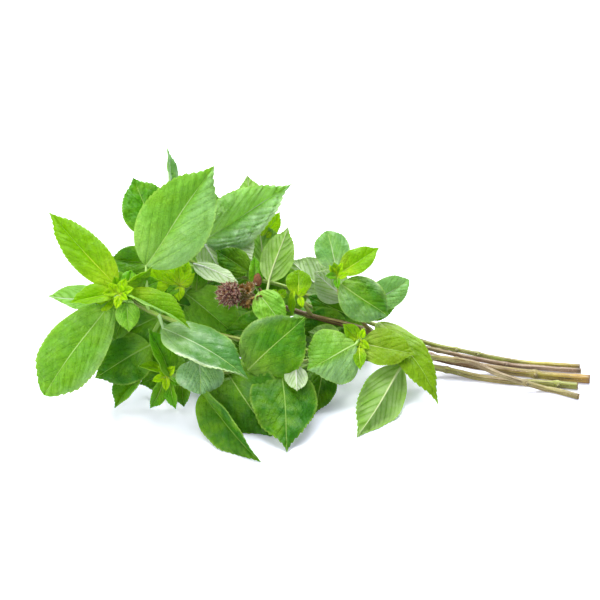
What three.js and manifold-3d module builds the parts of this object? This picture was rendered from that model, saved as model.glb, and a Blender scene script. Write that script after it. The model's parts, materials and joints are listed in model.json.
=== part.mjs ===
// A cut bunch of Thai basil lying on a table: five leafy stems, one of them in flower.
// Millimetres, +Z up. The stalks run along X, cut ends towards +X. The origin is on the flat underside
// of the left sprig's stalk, where the bunch rests on the table.
import * as THREE from "three";
import Module from "manifold-3d";

const wasm = await Module();
wasm.setup();

// The bunch is laid out as it looks from its front. A place is [across, rise, near], in millimetres: to
// the right of the view's middle, above it, and towards the eye from the upright plane of the origin.
// A place that would be under the table stops on the table, further towards the eye.
const EYE_TILT = THREE.MathUtils.degToRad(32); // how far the eye looks down
const EYE_DISTANCE = 1125;
const ORIGIN_ACROSS = 100;
const ORIGIN_DROP = 41.1;

const GAP = 0.35; // kept between nodes
const SPLIT_GAP = 0.6; // along the stem, between its stalk and its sprig
const BLADE = 0.7; // thickness of a leaf blade
const LOW_TIP = 0.6; // height of the middle of a blade that lies on the table
const PETIOLE_RADIUS = 0.8;
const TOOTH_PITCH = 16; // two teeth, one on each margin, every so many millimetres
const STEM_CORNERS = [28, 62, 118, 152, 208, 242, 298, 332]; // degrees: a square with its corners cut
const FLAT_DEPTH = Math.sin(THREE.MathUtils.degToRad(62)); // from a stem's middle to its flat, over radius
const LEVEL = 0.02; // a stem that climbs less than this, over its length, is level
const SHOOT_CORNERS = [45, 135, 225, 315];
const PETIOLE_CORNERS = [90, 210, 330];
const KNOT = { swell: 0.3, half: 1.6 }; // a node of the stem: how much wider, and half its length

// Colour and roughness of each kind of node, by the last word of its name.
const FINISHES = {
  stalk: [0x8d7f4a, 0.7],
  sprig: [0x6aa82e, 0.5],
  head: [0x6d4150, 0.9],
  bud: [0x8a4b2a, 0.7],
};

// The stems from cut end to tip. radius is at the cut end and at the tip. bare is how far, across, the
// woody stalk reaches: left of that the stem is a green sprig. knots are the places, across, of its nodes.
const STEMS = {
  left: {
    radius: [1.85, 0.9],
    bare: 62,
    knots: [128, 74],
    path: [[139, -43.2, 0], [124, -42, 0], [100, -40.2, 0], [90, -38.8, -6], [71.5, -34.5, -1.8], [40, -30, 5],
      [0, -25, 16], [-40, -17.5, 25], [-67.5, -9, 32], [-80, -3, 34], [-89.5, 4.5, 35]],
  },
  low: {
    radius: [1.5, 0.8],
    bare: 64,
    knots: [112, 78],
    path: [[139.5, -48.5, 0], [124, -44.75, 0], [110.5, -40.75, 10], [100, -37.3, 7], [93.5, -34.5, 4.8],
      [87, -31.5, 3.3], [71, -29, 5.4], [40, -26.5, 12], [0, -31, 24], [-35, -36, 28], [-55, -38, 27],
      [-66.5, -37.5, 26]],
  },
  flowering: {
    radius: [2.2, 1.2],
    bare: 58,
    knots: [118, 66, 33, 4],
    path: [[145, -39.8, -9], [124, -38, -9], [110, -36.3, -5], [90, -33.2, -4], [70.5, -29.5, -4],
      [50, -23, -4], [32.5, -15, -1], [4, -7.5, 5], [-11, -2.5, 9], [-21.5, 1.5, 13]],
  },
  upper: {
    radius: [1.4, 0.8],
    bare: 60,
    knots: [90, 79],
    path: [[140, -33.5, -12], [118.5, -32, -12], [106, -30.5, -12], [79, -25, -13.2], [66, -22.2, -12],
      [25, -7.5, -13], [-10, 7.5, -8], [-35, 12.5, 3], [-52, 18, 10], [-68.5, 30, 16]],
  },
  back: {
    radius: [1.3, 0.8],
    bare: 58,
    knots: [104, 70],
    path: [[140.5, -35.5, -8], [122, -34, -8], [105, -32.5, -8], [70, -25.5, -9.6], [30, -15, -14],
      [-5, 2.5, -18], [-30, 19, -14], [-50, 30.5, -8]],
  },
};

// Side shoots: the stem each grows from, the place across where it leaves it, and its path from there.
const SHOOTS = {
  right: { stem: "flowering", at: 36, path: [[27, -6, 5], [20.5, 0, 8], [18.5, 10, 10]] },
  hanging: { stem: "flowering", at: 33, path: [[31, -15, 6], [30, -20.5, 12]] },
  inner: { stem: "flowering", at: 6, path: [[2, -2, 10], [0, 1.5, 12]] },
  budding: { stem: "flowering", at: -15, path: [[-18, 2.5, 9], [-20.5, 6, 9]] },
  tuft: { stem: "upper", at: -38, path: [[-49, 8, 8], [-60, 5.5, 14]] },
};

// The leaves that the front shows. on is a stem or a side shoot, back is how far before its tip the leaf
// stalk leaves it, and base and tip are the ends of the blade. roll turns the blade's upper face from the
// eye, arch bends its tip back from that face, fold lifts its halves off the midrib, all in degrees.
// rise and taper shape its foot and its end: the more, the more drawn out.
const LEAVES = [
  // The big rosette at the left.
  { on: "left", back: 16, base: [-77, 17, 31], tip: [-43, 67, 26], wide: 36, roll: 4, arch: 12, fold: 6 },
  { on: "left", back: 8, base: [-94, -0.5, 36], tip: [-128, -47.5, 44], wide: 31, roll: 8, arch: 26, fold: -5, rise: 0.8, taper: 0.6 },
  { on: "left", back: 4, base: [-92, 7, 36], tip: [-125.5, 43.8, 30], wide: 19, roll: 8, arch: 14, fold: 8 },
  { on: "left", back: 5, base: [-87, 3, 38], tip: [-55, -14.5, 44], wide: 18, roll: -46, arch: 16, fold: 32 },
  { on: "left", back: 3, base: [-93, 3, 37], tip: [-115, -1.5, 44], wide: 13, roll: 40, arch: 18, fold: 22 },
  { on: "left", back: 3, base: [-88, 8, 37], tip: [-74, 16.5, 34], wide: 12, roll: 58, arch: 16, fold: 26 },
  { on: "left", back: 4, base: [-86.5, -1.5, 39], tip: [-85.5, -16, 44], wide: 12, roll: 0, arch: 12, fold: 8 },
  { on: "left", back: 9, base: [-93, -4, 34], tip: [-95, -12, 32], wide: 8, roll: 10, arch: 10, fold: 10 },
  { on: "left", back: 1, base: [-91, 6.5, 37], tip: [-93, 12, 40], wide: 5, roll: 10, arch: 4, fold: 20 },
  { on: "left", back: 1, base: [-88, 4, 38], tip: [-84, 0, 42], wide: 5, roll: -20, arch: 4, fold: 20 },
  { on: "left", back: 6, base: [-98, 1.5, 29], tip: [-126, 2, 22], wide: 14, roll: 150, arch: -30, fold: 15 },
  { on: "left", back: 22, base: [-68.5, -14, 40], tip: [-26, -39.5, 46], wide: 29, roll: -34, arch: 30, fold: -8 },
  { on: "left", back: 24, base: [-75, -22.5, 28], tip: [-102.5, -39, 24], wide: 26, roll: 12, arch: 18, fold: -6 },
  { on: "left", back: 88, base: [-4, -16, 17], tip: [-37, -15, 12], wide: 24, roll: -10, arch: 16, fold: 4 },
  { on: "left", back: 112, base: [20, -20, 10], tip: [4, -16, 8], wide: 13, roll: 175, arch: 4, fold: 8 },
  // The small star at the front, close to the table, and the leaves round it.
  { on: "low", back: 4, base: [-65, -38, 28], tip: [-76, -14.5, 34], wide: 16, roll: 44, arch: 16, fold: 20 },
  { on: "low", back: 2, base: [-68, -35.5, 28], tip: [-81, -33, 31], wide: 7, roll: 50, arch: 12, fold: 20 },
  { on: "low", back: 3, base: [-68.5, -40, 28], tip: [-75, -54, 27], wide: 9, roll: -30, arch: 50, fold: 15 },
  { on: "low", back: 3, base: [-65.5, -40.5, 28], tip: [-62, -54.5, 27], wide: 8, roll: 30, arch: 16, fold: 28 },
  { on: "low", back: 1, base: [-77, -34, 24], tip: [-92.5, -54, 24], wide: 17, roll: 36, arch: 14, fold: 34 },
  { on: "low", back: 10, base: [-59, -40, 21], tip: [-58, -53.5, 22], wide: 10, roll: 20, arch: 10, fold: 20 },
  { on: "low", back: 18, base: [-50.5, -29.5, 33], tip: [-50, -47, 40], wide: 24, roll: -8, arch: 52, fold: -6, taper: 0.6 },
  { on: "low", back: 24, base: [-49, -46.5, 31], tip: [-19.5, -81, 40], wide: 23, roll: 36, arch: 14, fold: 34 },
  { on: "low", back: 30, base: [-39, -32.5, 24], tip: [-14, -68, 38], wide: 36, roll: 4, arch: 16, fold: -4, taper: 0.8 },
  { on: "low", back: 58, base: [-9.5, -34, 27], tip: [-6.5, -76, 50], wide: 34, roll: -8, arch: 22, fold: -8, taper: 1.15 },
  { on: "low", back: 44, base: [-26, -35, 33], tip: [2.5, -8.5, 31], wide: 34, roll: 2, arch: 24, fold: -6 },
  { on: "low", back: 66, base: [-2, -32.5, 29], tip: [-1.5, -45.5, 40], wide: 12, roll: 172, arch: -10, fold: 12 },
  // The flowering stem: the rosette at the right, the hanging shoot and the leaves by the flower head.
  { on: "right", back: 3, base: [18.5, 14.5, 10], tip: [13.5, 34.5, 4], wide: 18, roll: 4, arch: 26, fold: 5, taper: 0.6 },
  { on: "right", back: 2, base: [20.5, 13.5, 11], tip: [39.5, 26, 8], wide: 14, roll: -20, arch: 14, fold: 14 },
  { on: "right", back: 4, base: [20.5, 8, 12], tip: [44, -8, 15], wide: 23, roll: -4, arch: 24, fold: -6, taper: 0.75 },
  { on: "right", back: 8, base: [33, -3, 2], tip: [54.5, 10, -2], wide: 16, roll: 0, arch: 16, fold: 10, taper: 0.7 },
  { on: "right", back: 10, base: [32, -7, 2], tip: [48, -3, 0], wide: 10, roll: 10, arch: 12, fold: 10 },
  { on: "right", back: 1, base: [18, 12.5, 11], tip: [17, 19, 15], wide: 6, roll: 10, arch: 4, fold: 20 },
  { on: "hanging", back: 1, base: [28, -22, 13], tip: [3.5, -35, 22], wide: 31, roll: 6, arch: 26, fold: -16 },
  { on: "hanging", back: 1, base: [31, -22, 13], tip: [57.5, -27, 16], wide: 20, roll: -20, arch: 12, fold: 6 },
  { on: "hanging", back: 1, base: [28.5, -19.5, 14], tip: [21.5, -12, 17], wide: 9, roll: 20, arch: 6, fold: 22 },
  { on: "hanging", back: 1, base: [29.5, -24, 14], tip: [30, -35, 17], wide: 7, roll: 0, arch: 10, fold: 18 },
  { on: "flowering", back: 74, base: [39, -11, -2], tip: [69, -52, 20], wide: 19, roll: -30, arch: 66, fold: -6 },
  { on: "flowering", back: 82, base: [51, -32.5, 12], tip: [28.5, -68.5, 40], wide: 23, rise: 0.75, roll: 170, arch: -16, fold: 8 },
  { on: "inner", back: 1, base: [-1, 2.5, 13], tip: [-0.5, 15, 11], wide: 13, roll: 0, arch: 12, fold: 6, taper: 0.6 },
  { on: "inner", back: 2, base: [-3, 5, 12], tip: [-3.5, -8, 13], wide: 9, roll: 66, arch: 8, fold: 10 },
  { on: "flowering", back: 5, base: [-15.5, 9.5, 9], tip: [-6, 36.5, 6], wide: 17, roll: 168, arch: -10, fold: 8 },
  { on: "flowering", back: 4, base: [-21, 3.5, 17], tip: [-7.5, -13.5, 19], wide: 16, roll: 0, arch: 16, fold: 8 },
  { on: "flowering", back: 4, base: [-22, 6, 7], tip: [-23, 22, 8], wide: 8, roll: 20, arch: 8, fold: 14 },
  // The small bright tuft behind the big rosette.
  { on: "tuft", back: 2, base: [-65, 8, 17], tip: [-78, 13, 18], wide: 15, roll: 0, arch: 10, fold: 8 },
  { on: "tuft", back: 2, base: [-61, 8, 17], tip: [-64, 20, 14], wide: 12, roll: 0, arch: 8, fold: 12 },
  { on: "tuft", back: 1, base: [-60, 7.5, 17], tip: [-56, 20, 15], wide: 9, roll: -10, arch: 8, fold: 16 },
  { on: "tuft", back: 1, base: [-59, 7, 17], tip: [-53.5, 12.5, 18], wide: 6, roll: 0, arch: 4, fold: 16 },
  { on: "tuft", back: 4, base: [-57.5, 3.5, 19], tip: [-28.5, -20, 25], wide: 26, roll: -6, arch: 20, fold: 4 },
  { on: "tuft", back: 10, base: [-52, 5, 12], tip: [-51, 18, 10], wide: 12, roll: 38, arch: 10, fold: 10 },
  // The leaves that stand up at the back left.
  { on: "upper", back: 3, base: [-71, 32.5, 17], tip: [-83.5, 61, 12], wide: 26, roll: 8, arch: 14, fold: 8 },
  { on: "upper", back: 2, base: [-66, 40, 14], tip: [-66.5, 76.5, 6], wide: 17, roll: 66, arch: 10, fold: 20 },
  { on: "upper", back: 14, base: [-75, 18.5, 16], tip: [-95, 20.5, 14], wide: 16, roll: 0, arch: 12, fold: 8 },
  { on: "upper", back: 26, base: [-53, 18, 13], tip: [-31, 9, 19], wide: 12, roll: 140, arch: -20, fold: 14 },
  { on: "upper", back: 50, base: [-26, 14, 2], tip: [-42, 25, 2], wide: 15, roll: 0, arch: 10, fold: 8 },
  // The leaves that stand up at the back.
  { on: "back", back: 2, base: [-49, 29.5, -2], tip: [-4, 58, -8], wide: 29, roll: 10, arch: 14, fold: 8, taper: 1.15 },
  { on: "back", back: 9, base: [-47.5, 27.5, 0], tip: [-38, 12.5, 6], wide: 18, roll: 176, arch: 6, fold: 6 },
  { on: "back", back: 20, base: [-38, 31, -4], tip: [-24, 20, 2], wide: 21, roll: 176, arch: 8, fold: 6 },
  { on: "back", back: 16, base: [-23.5, 40, -14], tip: [-26.5, 62.5, -22], wide: 16, roll: 172, arch: -6, fold: 8 },
  { on: "back", back: 32, base: [-19, 31, -12], tip: [-10, 44, -14], wide: 10, roll: 24, arch: 8, fold: 8 },
  { on: "back", back: 44, base: [-18, 15, -10], tip: [-21, 40, -12], wide: 23, roll: 176, arch: -6, fold: 6 },
  { on: "back", back: 80, base: [14, 3, -10], tip: [-5, 20, -12], wide: 24, roll: 174, arch: -12, fold: 6 },
  { on: "back", back: 90, base: [23, 1, -10], tip: [7, 14, -10], wide: 18, roll: 176, arch: -8, fold: 6 },
  { on: "back", back: 104, base: [31, -11.5, -8], tip: [4, 2, -4], wide: 24, roll: 6, arch: 16, fold: 6 },
  // The darker leaves inside the bunch.
  { on: "left", back: 30, base: [-70, -8, 24], tip: [-94, -19, 20], wide: 22, roll: 6, arch: 16, fold: 5 },
  { on: "left", back: 7, base: [-85, 10, 27], tip: [-102, 5, 24], wide: 13, roll: 0, arch: 8, fold: 8 },
  { on: "left", back: 100, base: [24, -12, -3], tip: [-4, -21, 0], wide: 24, roll: 0, arch: 10, fold: 5 },
  { on: "tuft", back: 6, base: [-56, 5, 8], tip: [-70, 1, 8], wide: 12, roll: 0, arch: 8, fold: 6 },
  { on: "back", back: 30, base: [-24, 15, -14], tip: [-50, 8, -12], wide: 19, roll: 8, arch: 10, fold: 5 },
  { on: "back", back: 60, base: [4, 6, -20], tip: [-35, 0, -15], wide: 28, roll: 4, arch: 12, fold: 4 },
  { on: "low", back: 40, base: [-56, -33, 16], tip: [-80, -42, 12], wide: 20, roll: 10, arch: 12, fold: 5 },
  { on: "low", back: 76, base: [12, -34, 12], tip: [7, -57, 18], wide: 17, roll: 0, arch: 12, fold: 5 },
];

// The flower spike goes on from the flowering stem's tip: a slim axis with a loose whorl of calyces and,
// at its end, a dense head of bracts. The bud stands on its own side shoot.
const SPIKE = {
  path: [[-22.5, 1.9, 13.6], [-28, 2.8, 16], [-34, 3, 19], [-39, 3, 22]],
  radius: 1.1,
  whorl: { at: 0.3, calyces: 8, reach: 7.5, radius: 1.4, lean: 60 },
  head: { from: 0.5, bracts: 18, radius: 4.4, reach: 6, bract: 1.3, turn: 137.5 },
};
const BUD = { foot: [-20.9, 6.8, 9], tip: [-21.4, 13.8, 9], radius: 2 };

// The leaves of the far side and underneath grow by rule: one every `pitch` along each sprig, each a
// golden turn on from the last, from straight up over the back to underneath. Each is the longest that
// is clear of the others and hidden from the front. A leaf of the rule stands off its stem by `petiole`.
const FAR_LEAF = {
  pitch: 9.5, turn: 137.5, first: 25, range: 175, lengths: [50, 42, 34, 26], wide: 0.55, petiole: 9,
  spreads: [60, 80, 40], droop: 0.12, arch: 26, fold: 5, margin: 12, lowest: 4,
};

// A leaf that would cross another stem's leans by the first of these that is clear: how much nearer to
// the eye its tip comes, and its base.
const LEANS = [[0, 0], [4, 1], [-4, -1], [7, 3], [-7, -3], [10, 5], [-10, -5], [14, 6], [-14, -6], [14, 9],
  [-14, -9], [18, 9], [-18, -9], [22, 12], [-22, -12]];

const radians = THREE.MathUtils.degToRad;
const TOWARDS_EYE = new THREE.Vector3(0, -Math.cos(EYE_TILT), Math.sin(EYE_TILT));
const VIEW_UP = new THREE.Vector3(0, Math.sin(EYE_TILT), Math.cos(EYE_TILT));
const VIEW_MIDDLE = VIEW_UP.clone().multiplyScalar(ORIGIN_DROP).setX(-ORIGIN_ACROSS);
const EYE = VIEW_MIDDLE.clone().addScaledVector(TOWARDS_EYE, EYE_DISTANCE);

// The point that shows at (across, rise), so near to the eye, and no lower than `least`.
function seen([across, rise, near], least = 0) {
  const shown = VIEW_MIDDLE.clone().addScaledVector(VIEW_UP, rise);
  shown.x += across;
  const share = Math.min(1 - near / EYE_DISTANCE, (EYE.z - least) / (EYE.z - shown.z));
  return EYE.clone().lerp(shown, share);
}

function geometryOf(vertices, faces) {
  const positions = new Float32Array(vertices.flatMap((v) => [v.x, v.y, v.z]));
  return new THREE.BufferGeometry()
    .setAttribute("position", new THREE.BufferAttribute(positions, 3))
    .setIndex(faces.flat());
}

function solidOf(geometry) {
  return new wasm.Manifold(new wasm.Mesh({
    numProp: 3,
    vertProperties: geometry.getAttribute("position").array,
    triVerts: new Uint32Array(geometry.index.array),
  }));
}

function meshOf(solid, name, color, roughness) {
  const made = solid.getMesh();
  const geometry = new THREE.BufferGeometry()
    .setAttribute("position", new THREE.BufferAttribute(made.vertProperties, 3))
    .setIndex(new THREE.BufferAttribute(made.triVerts, 1));
  const mesh = new THREE.Mesh(geometry, new THREE.MeshStandardMaterial({ color, roughness, metalness: 0 }));
  mesh.name = name;
  return mesh;
}

// A closed rod through the points, its section's corners at these angles. Where it lies level, the
// section keeps its flat side down.
function rod(points, radii, corners) {
  const vertices = [];
  const faces = [];
  let side = new THREE.Vector3(0, 1, 0);
  points.forEach((point, i) => {
    const along = points[Math.min(i + 1, points.length - 1)].clone().sub(points[Math.max(i - 1, 0)]).normalize();
    if (Math.abs(along.z) < LEVEL) along.setZ(0).normalize();
    const level = new THREE.Vector3(0, 0, 1).cross(along);
    if (level.length() > 0.3) side = level.normalize();
    const up = along.clone().cross(side).normalize();
    const across = up.clone().cross(along);
    for (const corner of corners) {
      vertices.push(point.clone()
        .addScaledVector(across, radii[i] * Math.cos(radians(corner)))
        .addScaledVector(up, radii[i] * Math.sin(radians(corner))));
    }
  });
  const sides = corners.length;
  for (let i = 0; i + 1 < points.length; i++) {
    for (let k = 0; k < sides; k++) {
      const a = i * sides + k;
      const b = i * sides + (k + 1) % sides;
      faces.push([a, b, b + sides], [a, b + sides, a + sides]);
    }
  }
  const last = (points.length - 1) * sides;
  for (let k = 1; k + 1 < sides; k++) faces.push([0, k + 1, k], [last, last + k, last + k + 1]);
  return geometryOf(vertices, faces);
}

// The share of the curve's length at which it passes that place, across.
function shareAt(curve, across) {
  const x = across - ORIGIN_ACROSS;
  let share = 0;
  while (share < 1 && curve.getPointAt(share).x > x) share += 0.002;
  return share;
}

// The stem from share `from` to share `to` in even steps, wider at its knots. It lies on the table
// where its path would dip below.
function stemRod(stem, from, to, steps) {
  const shares = Array.from({ length: steps + 1 }, (_, i) => from + (to - from) * i / steps);
  const half = KNOT.half / stem.length;
  for (const knot of stem.knots) {
    const share = shareAt(stem.curve, knot);
    if (share - half > from && share + half < to) shares.push(share - half, share, share + half);
  }
  shares.sort((a, b) => a - b);
  const radii = shares.map((share) => THREE.MathUtils.lerp(...stem.radius, share));
  const points = shares.map((share, i) => {
    const point = stem.curve.getPointAt(share);
    point.z = Math.max(point.z, radii[i] * FLAT_DEPTH);
    return point;
  });
  const swollen = radii.map((radius, i) => {
    const isKnot = stem.knots.some((knot) => Math.abs(shareAt(stem.curve, knot) - shares[i]) < half / 2);
    return isKnot ? Math.min(radius * (1 + KNOT.swell), points[i].z / FLAT_DEPTH) : radius;
  });
  return rod(points, swollen, STEM_CORNERS);
}

// Half of the blade's width at share u of its length: widest before the middle, drawn out to the tip.
function halfWidth(u, { wide, rise = 0.62, taper = 0.95 }) {
  const widest = rise / (rise + taper);
  return Math.max(wide / 2 * (u / widest) ** rise * ((1 - u) / (1 - widest)) ** taper, 0.5);
}

// A leaf: its stalk from root, in the middle of the stem, to base, and its toothed blade from base to
// tip. `more` thickens it, to leave room round it.
function leafGeometry(root, base, tip, leaf, more = 0) {
  const length = base.distanceTo(tip);
  const along = tip.clone().sub(base).normalize();
  const toEye = EYE.clone().sub(base.clone().lerp(tip, 0.5));
  const face = toEye.addScaledVector(along, -toEye.dot(along)).normalize()
    .applyAxisAngle(along, radians(leaf.roll));
  const side = face.clone().cross(along);
  const vertices = [];
  // One cross-section: pairs of an upper and an under vertex, on the midrib and on either margin.
  const addSection = (pairs, thickness) => {
    for (const { point, outward } of pairs) {
      point.z = Math.max(point.z, LOW_TIP + more);
      for (const half of [0.5, -0.5]) vertices.push(point.clone().addScaledVector(outward, half * thickness));
    }
  };

  const stalkWay = base.clone().sub(root).normalize();
  const stalkSide = side.clone().addScaledVector(stalkWay, -side.dot(stalkWay));
  if (stalkSide.length() < 0.4) {
    stalkSide.copy(face).addScaledVector(stalkWay, -face.dot(stalkWay)).cross(stalkWay);
  }
  stalkSide.normalize();
  const stalkUp = stalkWay.clone().cross(stalkSide);
  const bow = root.clone().lerp(base, 0.5);
  bow.z += 0.06 * root.distanceTo(base);
  for (const middle of [root, bow]) {
    const pairs = [0, 1, -1].map((lane) => ({
      point: middle.clone().addScaledVector(stalkSide, lane * (PETIOLE_RADIUS + more)),
      outward: stalkUp,
    }));
    addSection(pairs, 1.8 * PETIOLE_RADIUS + 2 * more);
  }

  const arch = radians(leaf.arch);
  const bendRadius = length / (2 * Math.sin(arch / 2));
  const fold = radians(leaf.fold);
  const onBlade = (u, reach) => {
    const angle = arch / 2 - arch * u;
    const outward = along.clone().multiplyScalar(-Math.sin(angle)).addScaledVector(face, Math.cos(angle));
    const point = base.clone()
      .addScaledVector(along, bendRadius * (Math.sin(arch / 2) - Math.sin(angle)))
      .addScaledVector(face, bendRadius * (Math.cos(angle) - Math.cos(arch / 2)))
      .addScaledVector(side, reach * Math.cos(fold))
      .addScaledVector(outward, Math.abs(reach) * Math.sin(fold));
    return { point, outward };
  };
  const bladeSections = 2 * Math.max(1, Math.round(length / TOOTH_PITCH)) + 1;
  for (let j = 0; j < bladeSections; j++) {
    const isTooth = j % 2 === 1;
    const u = j / bladeSections;
    const margin = isTooth ? u + 0.35 / bladeSections : u;
    const reach = halfWidth(margin, leaf) * (isTooth ? 1.04 : 0.95) + more;
    addSection([onBlade(u, 0), onBlade(margin, reach), onBlade(margin, -reach)], BLADE + 2 * more);
  }
  addSection([onBlade(1 + more / length, 0)], BLADE + 2 * more);

  const sections = bladeSections + 2;
  const at = (j, lane, under) => 2 * (j < sections ? 3 * j + lane : 3 * sections) + under;
  const faces = [];
  const add = (corners, turned) => faces.push(turned ? corners.toReversed() : corners);
  for (let j = 0; j < sections; j++) {
    for (const lane of [1, 2]) {
      for (const under of [0, 1]) {
        const turned = (lane + under) % 2 === 1;
        add([at(j, 0, under), at(j, lane, under), at(j + 1, lane, under)], turned);
        if (j + 1 < sections) add([at(j, 0, under), at(j + 1, lane, under), at(j + 1, 0, under)], turned);
      }
      add([at(j, lane, 0), at(j, lane, 1), at(j + 1, lane, 1)], lane === 1);
      add([at(j, lane, 0), at(j + 1, lane, 1), at(j + 1, lane, 0)], lane === 1);
    }
  }
  for (const [a, b] of [[0, 1], [2, 0]]) {
    add([at(0, a, 0), at(0, a, 1), at(0, b, 1)], true);
    add([at(0, a, 0), at(0, b, 1), at(0, b, 0)], true);
  }
  return geometryOf(vertices, faces);
}

const placed = []; // every closed piece so far: { name of its node, solid, box }

function place(name, geometry) {
  geometry.computeBoundingBox();
  placed.push({ name, solid: solidOf(geometry), box: geometry.boundingBox });
}

// Whether this geometry keeps clear of every other node's pieces.
function isClear(name, geometry) {
  geometry.computeBoundingBox();
  const near = placed.filter((piece) => piece.name !== name && piece.box.intersectsBox(geometry.boundingBox));
  if (near.length === 0) return true;
  const room = solidOf(geometry);
  return near.every((piece) => room.intersect(piece.solid).isEmpty());
}

const carriers = {}; // each stem and side shoot: { name, curve, length }

for (const [name, stem] of Object.entries(STEMS)) {
  const least = 0.85 * FLAT_DEPTH * stem.radius[0];
  stem.curve = new THREE.CatmullRomCurve3(stem.path.map((p) => seen(p, least)), false, "centripetal");
  stem.length = stem.curve.getLength();
  const split = shareAt(stem.curve, stem.bare);
  stem.leafy = (1 - split) * stem.length;
  place(`${name}_stalk`, stemRod(stem, 0, split - SPLIT_GAP / stem.length, 7));
  place(`${name}_sprig`, stemRod(stem, split, 1, 10));
  carriers[name] = { name: `${name}_sprig`, curve: stem.curve, length: stem.length };
}

for (const [name, { stem, at, path }] of Object.entries(SHOOTS)) {
  const main = STEMS[stem].curve;
  const root = main.getPointAt(shareAt(main, at));
  const curve = new THREE.CatmullRomCurve3([root, ...path.map((p) => seen(p))], false, "centripetal");
  const points = curve.getSpacedPoints(4);
  place(`${stem}_sprig`, rod(points, points.map((_, i) => 1.15 - 0.1 * i), SHOOT_CORNERS));
  carriers[name] = { name: `${stem}_sprig`, curve, length: curve.getLength() };
}

// A pointed pod from foot to tip, thickest two fifths of the way.
function pod(foot, tip, radius, corners = PETIOLE_CORNERS) {
  return rod([foot, foot.clone().lerp(tip, 0.4), tip], [radius * 0.4, radius, 0.15], corners);
}

function growFlower() {
  const axis = new THREE.CatmullRomCurve3(SPIKE.path.map((p) => seen(p)), false, "centripetal");
  const along = axis.getTangentAt(SPIKE.whorl.at);
  const side = new THREE.Vector3(0, 0, 1).cross(along).normalize();
  const outward = (turn, lean) => side.clone().applyAxisAngle(along, radians(turn)).multiplyScalar(Math.sin(lean))
    .addScaledVector(along, Math.cos(lean));

  place("flower_head", rod(axis.getSpacedPoints(4), Array(5).fill(SPIKE.radius), SHOOT_CORNERS));
  const { whorl, head } = SPIKE;
  for (let i = 0; i < whorl.calyces; i++) {
    const foot = axis.getPointAt(whorl.at);
    const tip = foot.clone().addScaledVector(outward(360 * i / whorl.calyces, radians(whorl.lean)), whorl.reach);
    place("flower_head", pod(foot, tip, whorl.radius, SHOOT_CORNERS));
  }
  const core = [0, 0.25, 0.5, 0.75, 1].map((s) => axis.getPointAt(head.from + (1 - head.from) * s));
  place("flower_head", rod(core, [1.4, 0.85, 1, 0.8, 0.3].map((r) => r * head.radius * 0.8), STEM_CORNERS));
  for (let i = 0; i < head.bracts; i++) {
    const share = (i + 0.5) / head.bracts;
    const foot = axis.getPointAt(head.from + (1 - head.from) * share * 0.9);
    const lean = radians(100 - 75 * share);
    const tip = foot.clone().addScaledVector(outward(i * head.turn, lean), head.reach);
    place("flower_head", pod(foot, tip, head.bract));
  }
  place("flower_bud", pod(seen(BUD.foot), seen(BUD.tip), BUD.radius, STEM_CORNERS));
}
growFlower();

// The front's leaves, each with its first lean that is clear.
const frontMeshes = [];
for (const leaf of LEAVES) {
  const { name, curve, length } = carriers[leaf.on];
  const root = curve.getPointAt(Math.max(0, 1 - leaf.back / length));
  const ends = ([tipLean, baseLean]) => [
    seen(leaf.base.with(2, leaf.base[2] + baseLean), LOW_TIP),
    seen(leaf.tip.with(2, leaf.tip[2] + tipLean), LOW_TIP),
  ];
  const lean = LEANS.find((tried) => isClear(name, leafGeometry(root, ...ends(tried), leaf, GAP)));
  if (!lean) throw new Error(`no room for the leaf on ${leaf.on} to ${leaf.tip}`);
  const geometry = leafGeometry(root, ...ends(lean), leaf);
  place(name, geometry);
  frontMeshes.push(new THREE.Mesh(geometry, new THREE.MeshBasicMaterial({ side: THREE.DoubleSide })));
}

// Whether the front's leaves hide that point from the eye.
const caster = new THREE.Raycaster();
function isHidden(point) {
  const reach = point.distanceTo(EYE);
  caster.set(EYE, point.clone().sub(EYE).normalize());
  return caster.intersectObjects(frontMeshes).some((hit) => hit.distance < reach);
}

// The leaf of the rule at this root, of this length and spread, thickened by `more`.
function farLeaf(root, along, out, [length, spread], more) {
  const way = along.clone().multiplyScalar(Math.cos(radians(spread)))
    .addScaledVector(out, Math.sin(radians(spread)));
  const base = root.clone().addScaledVector(way, FAR_LEAF.petiole);
  const tip = base.clone().addScaledVector(way, length);
  tip.z = Math.max(tip.z - length * FAR_LEAF.droop, LOW_TIP);
  const shape = { wide: length * FAR_LEAF.wide, roll: 180, arch: -FAR_LEAF.arch, fold: FAR_LEAF.fold };
  return { foot: base.z, geometry: leafGeometry(root, base, tip, shape, more) };
}

for (const [name, stem] of Object.entries(STEMS)) {
  for (let i = 0; FAR_LEAF.margin + i * FAR_LEAF.pitch < stem.leafy; i++) {
    const share = 1 - (FAR_LEAF.margin + i * FAR_LEAF.pitch) / stem.length;
    const root = stem.curve.getPointAt(share);
    const along = stem.curve.getTangentAt(share);
    const angle = radians(FAR_LEAF.first + (i * FAR_LEAF.turn) % FAR_LEAF.range);
    const out = new THREE.Vector3(0, Math.sin(angle), Math.cos(angle));
    out.addScaledVector(along, -out.dot(along)).normalize();
    const sizes = FAR_LEAF.lengths.flatMap((length) => FAR_LEAF.spreads.map((spread) => [length, spread]));
    const size = sizes.find((tried) => {
      const { foot, geometry } = farLeaf(root, along, out, tried, GAP);
      if (foot < FAR_LEAF.lowest) return false;
      const corners = geometry.getAttribute("position");
      for (let k = 0; k < corners.count; k += 2) {
        if (!isHidden(new THREE.Vector3().fromBufferAttribute(corners, k))) return false;
      }
      return isClear(`${name}_sprig`, geometry);
    });
    if (size) place(`${name}_sprig`, farLeaf(root, along, out, size, 0).geometry);
  }
}

// Fusing can seal a small hollow among the leaves or cut off a scrap: the largest body is the node.
function fused(solids) {
  return wasm.Manifold.union(solids).decompose().sort((a, b) => b.volume() - a.volume())[0];
}

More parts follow.
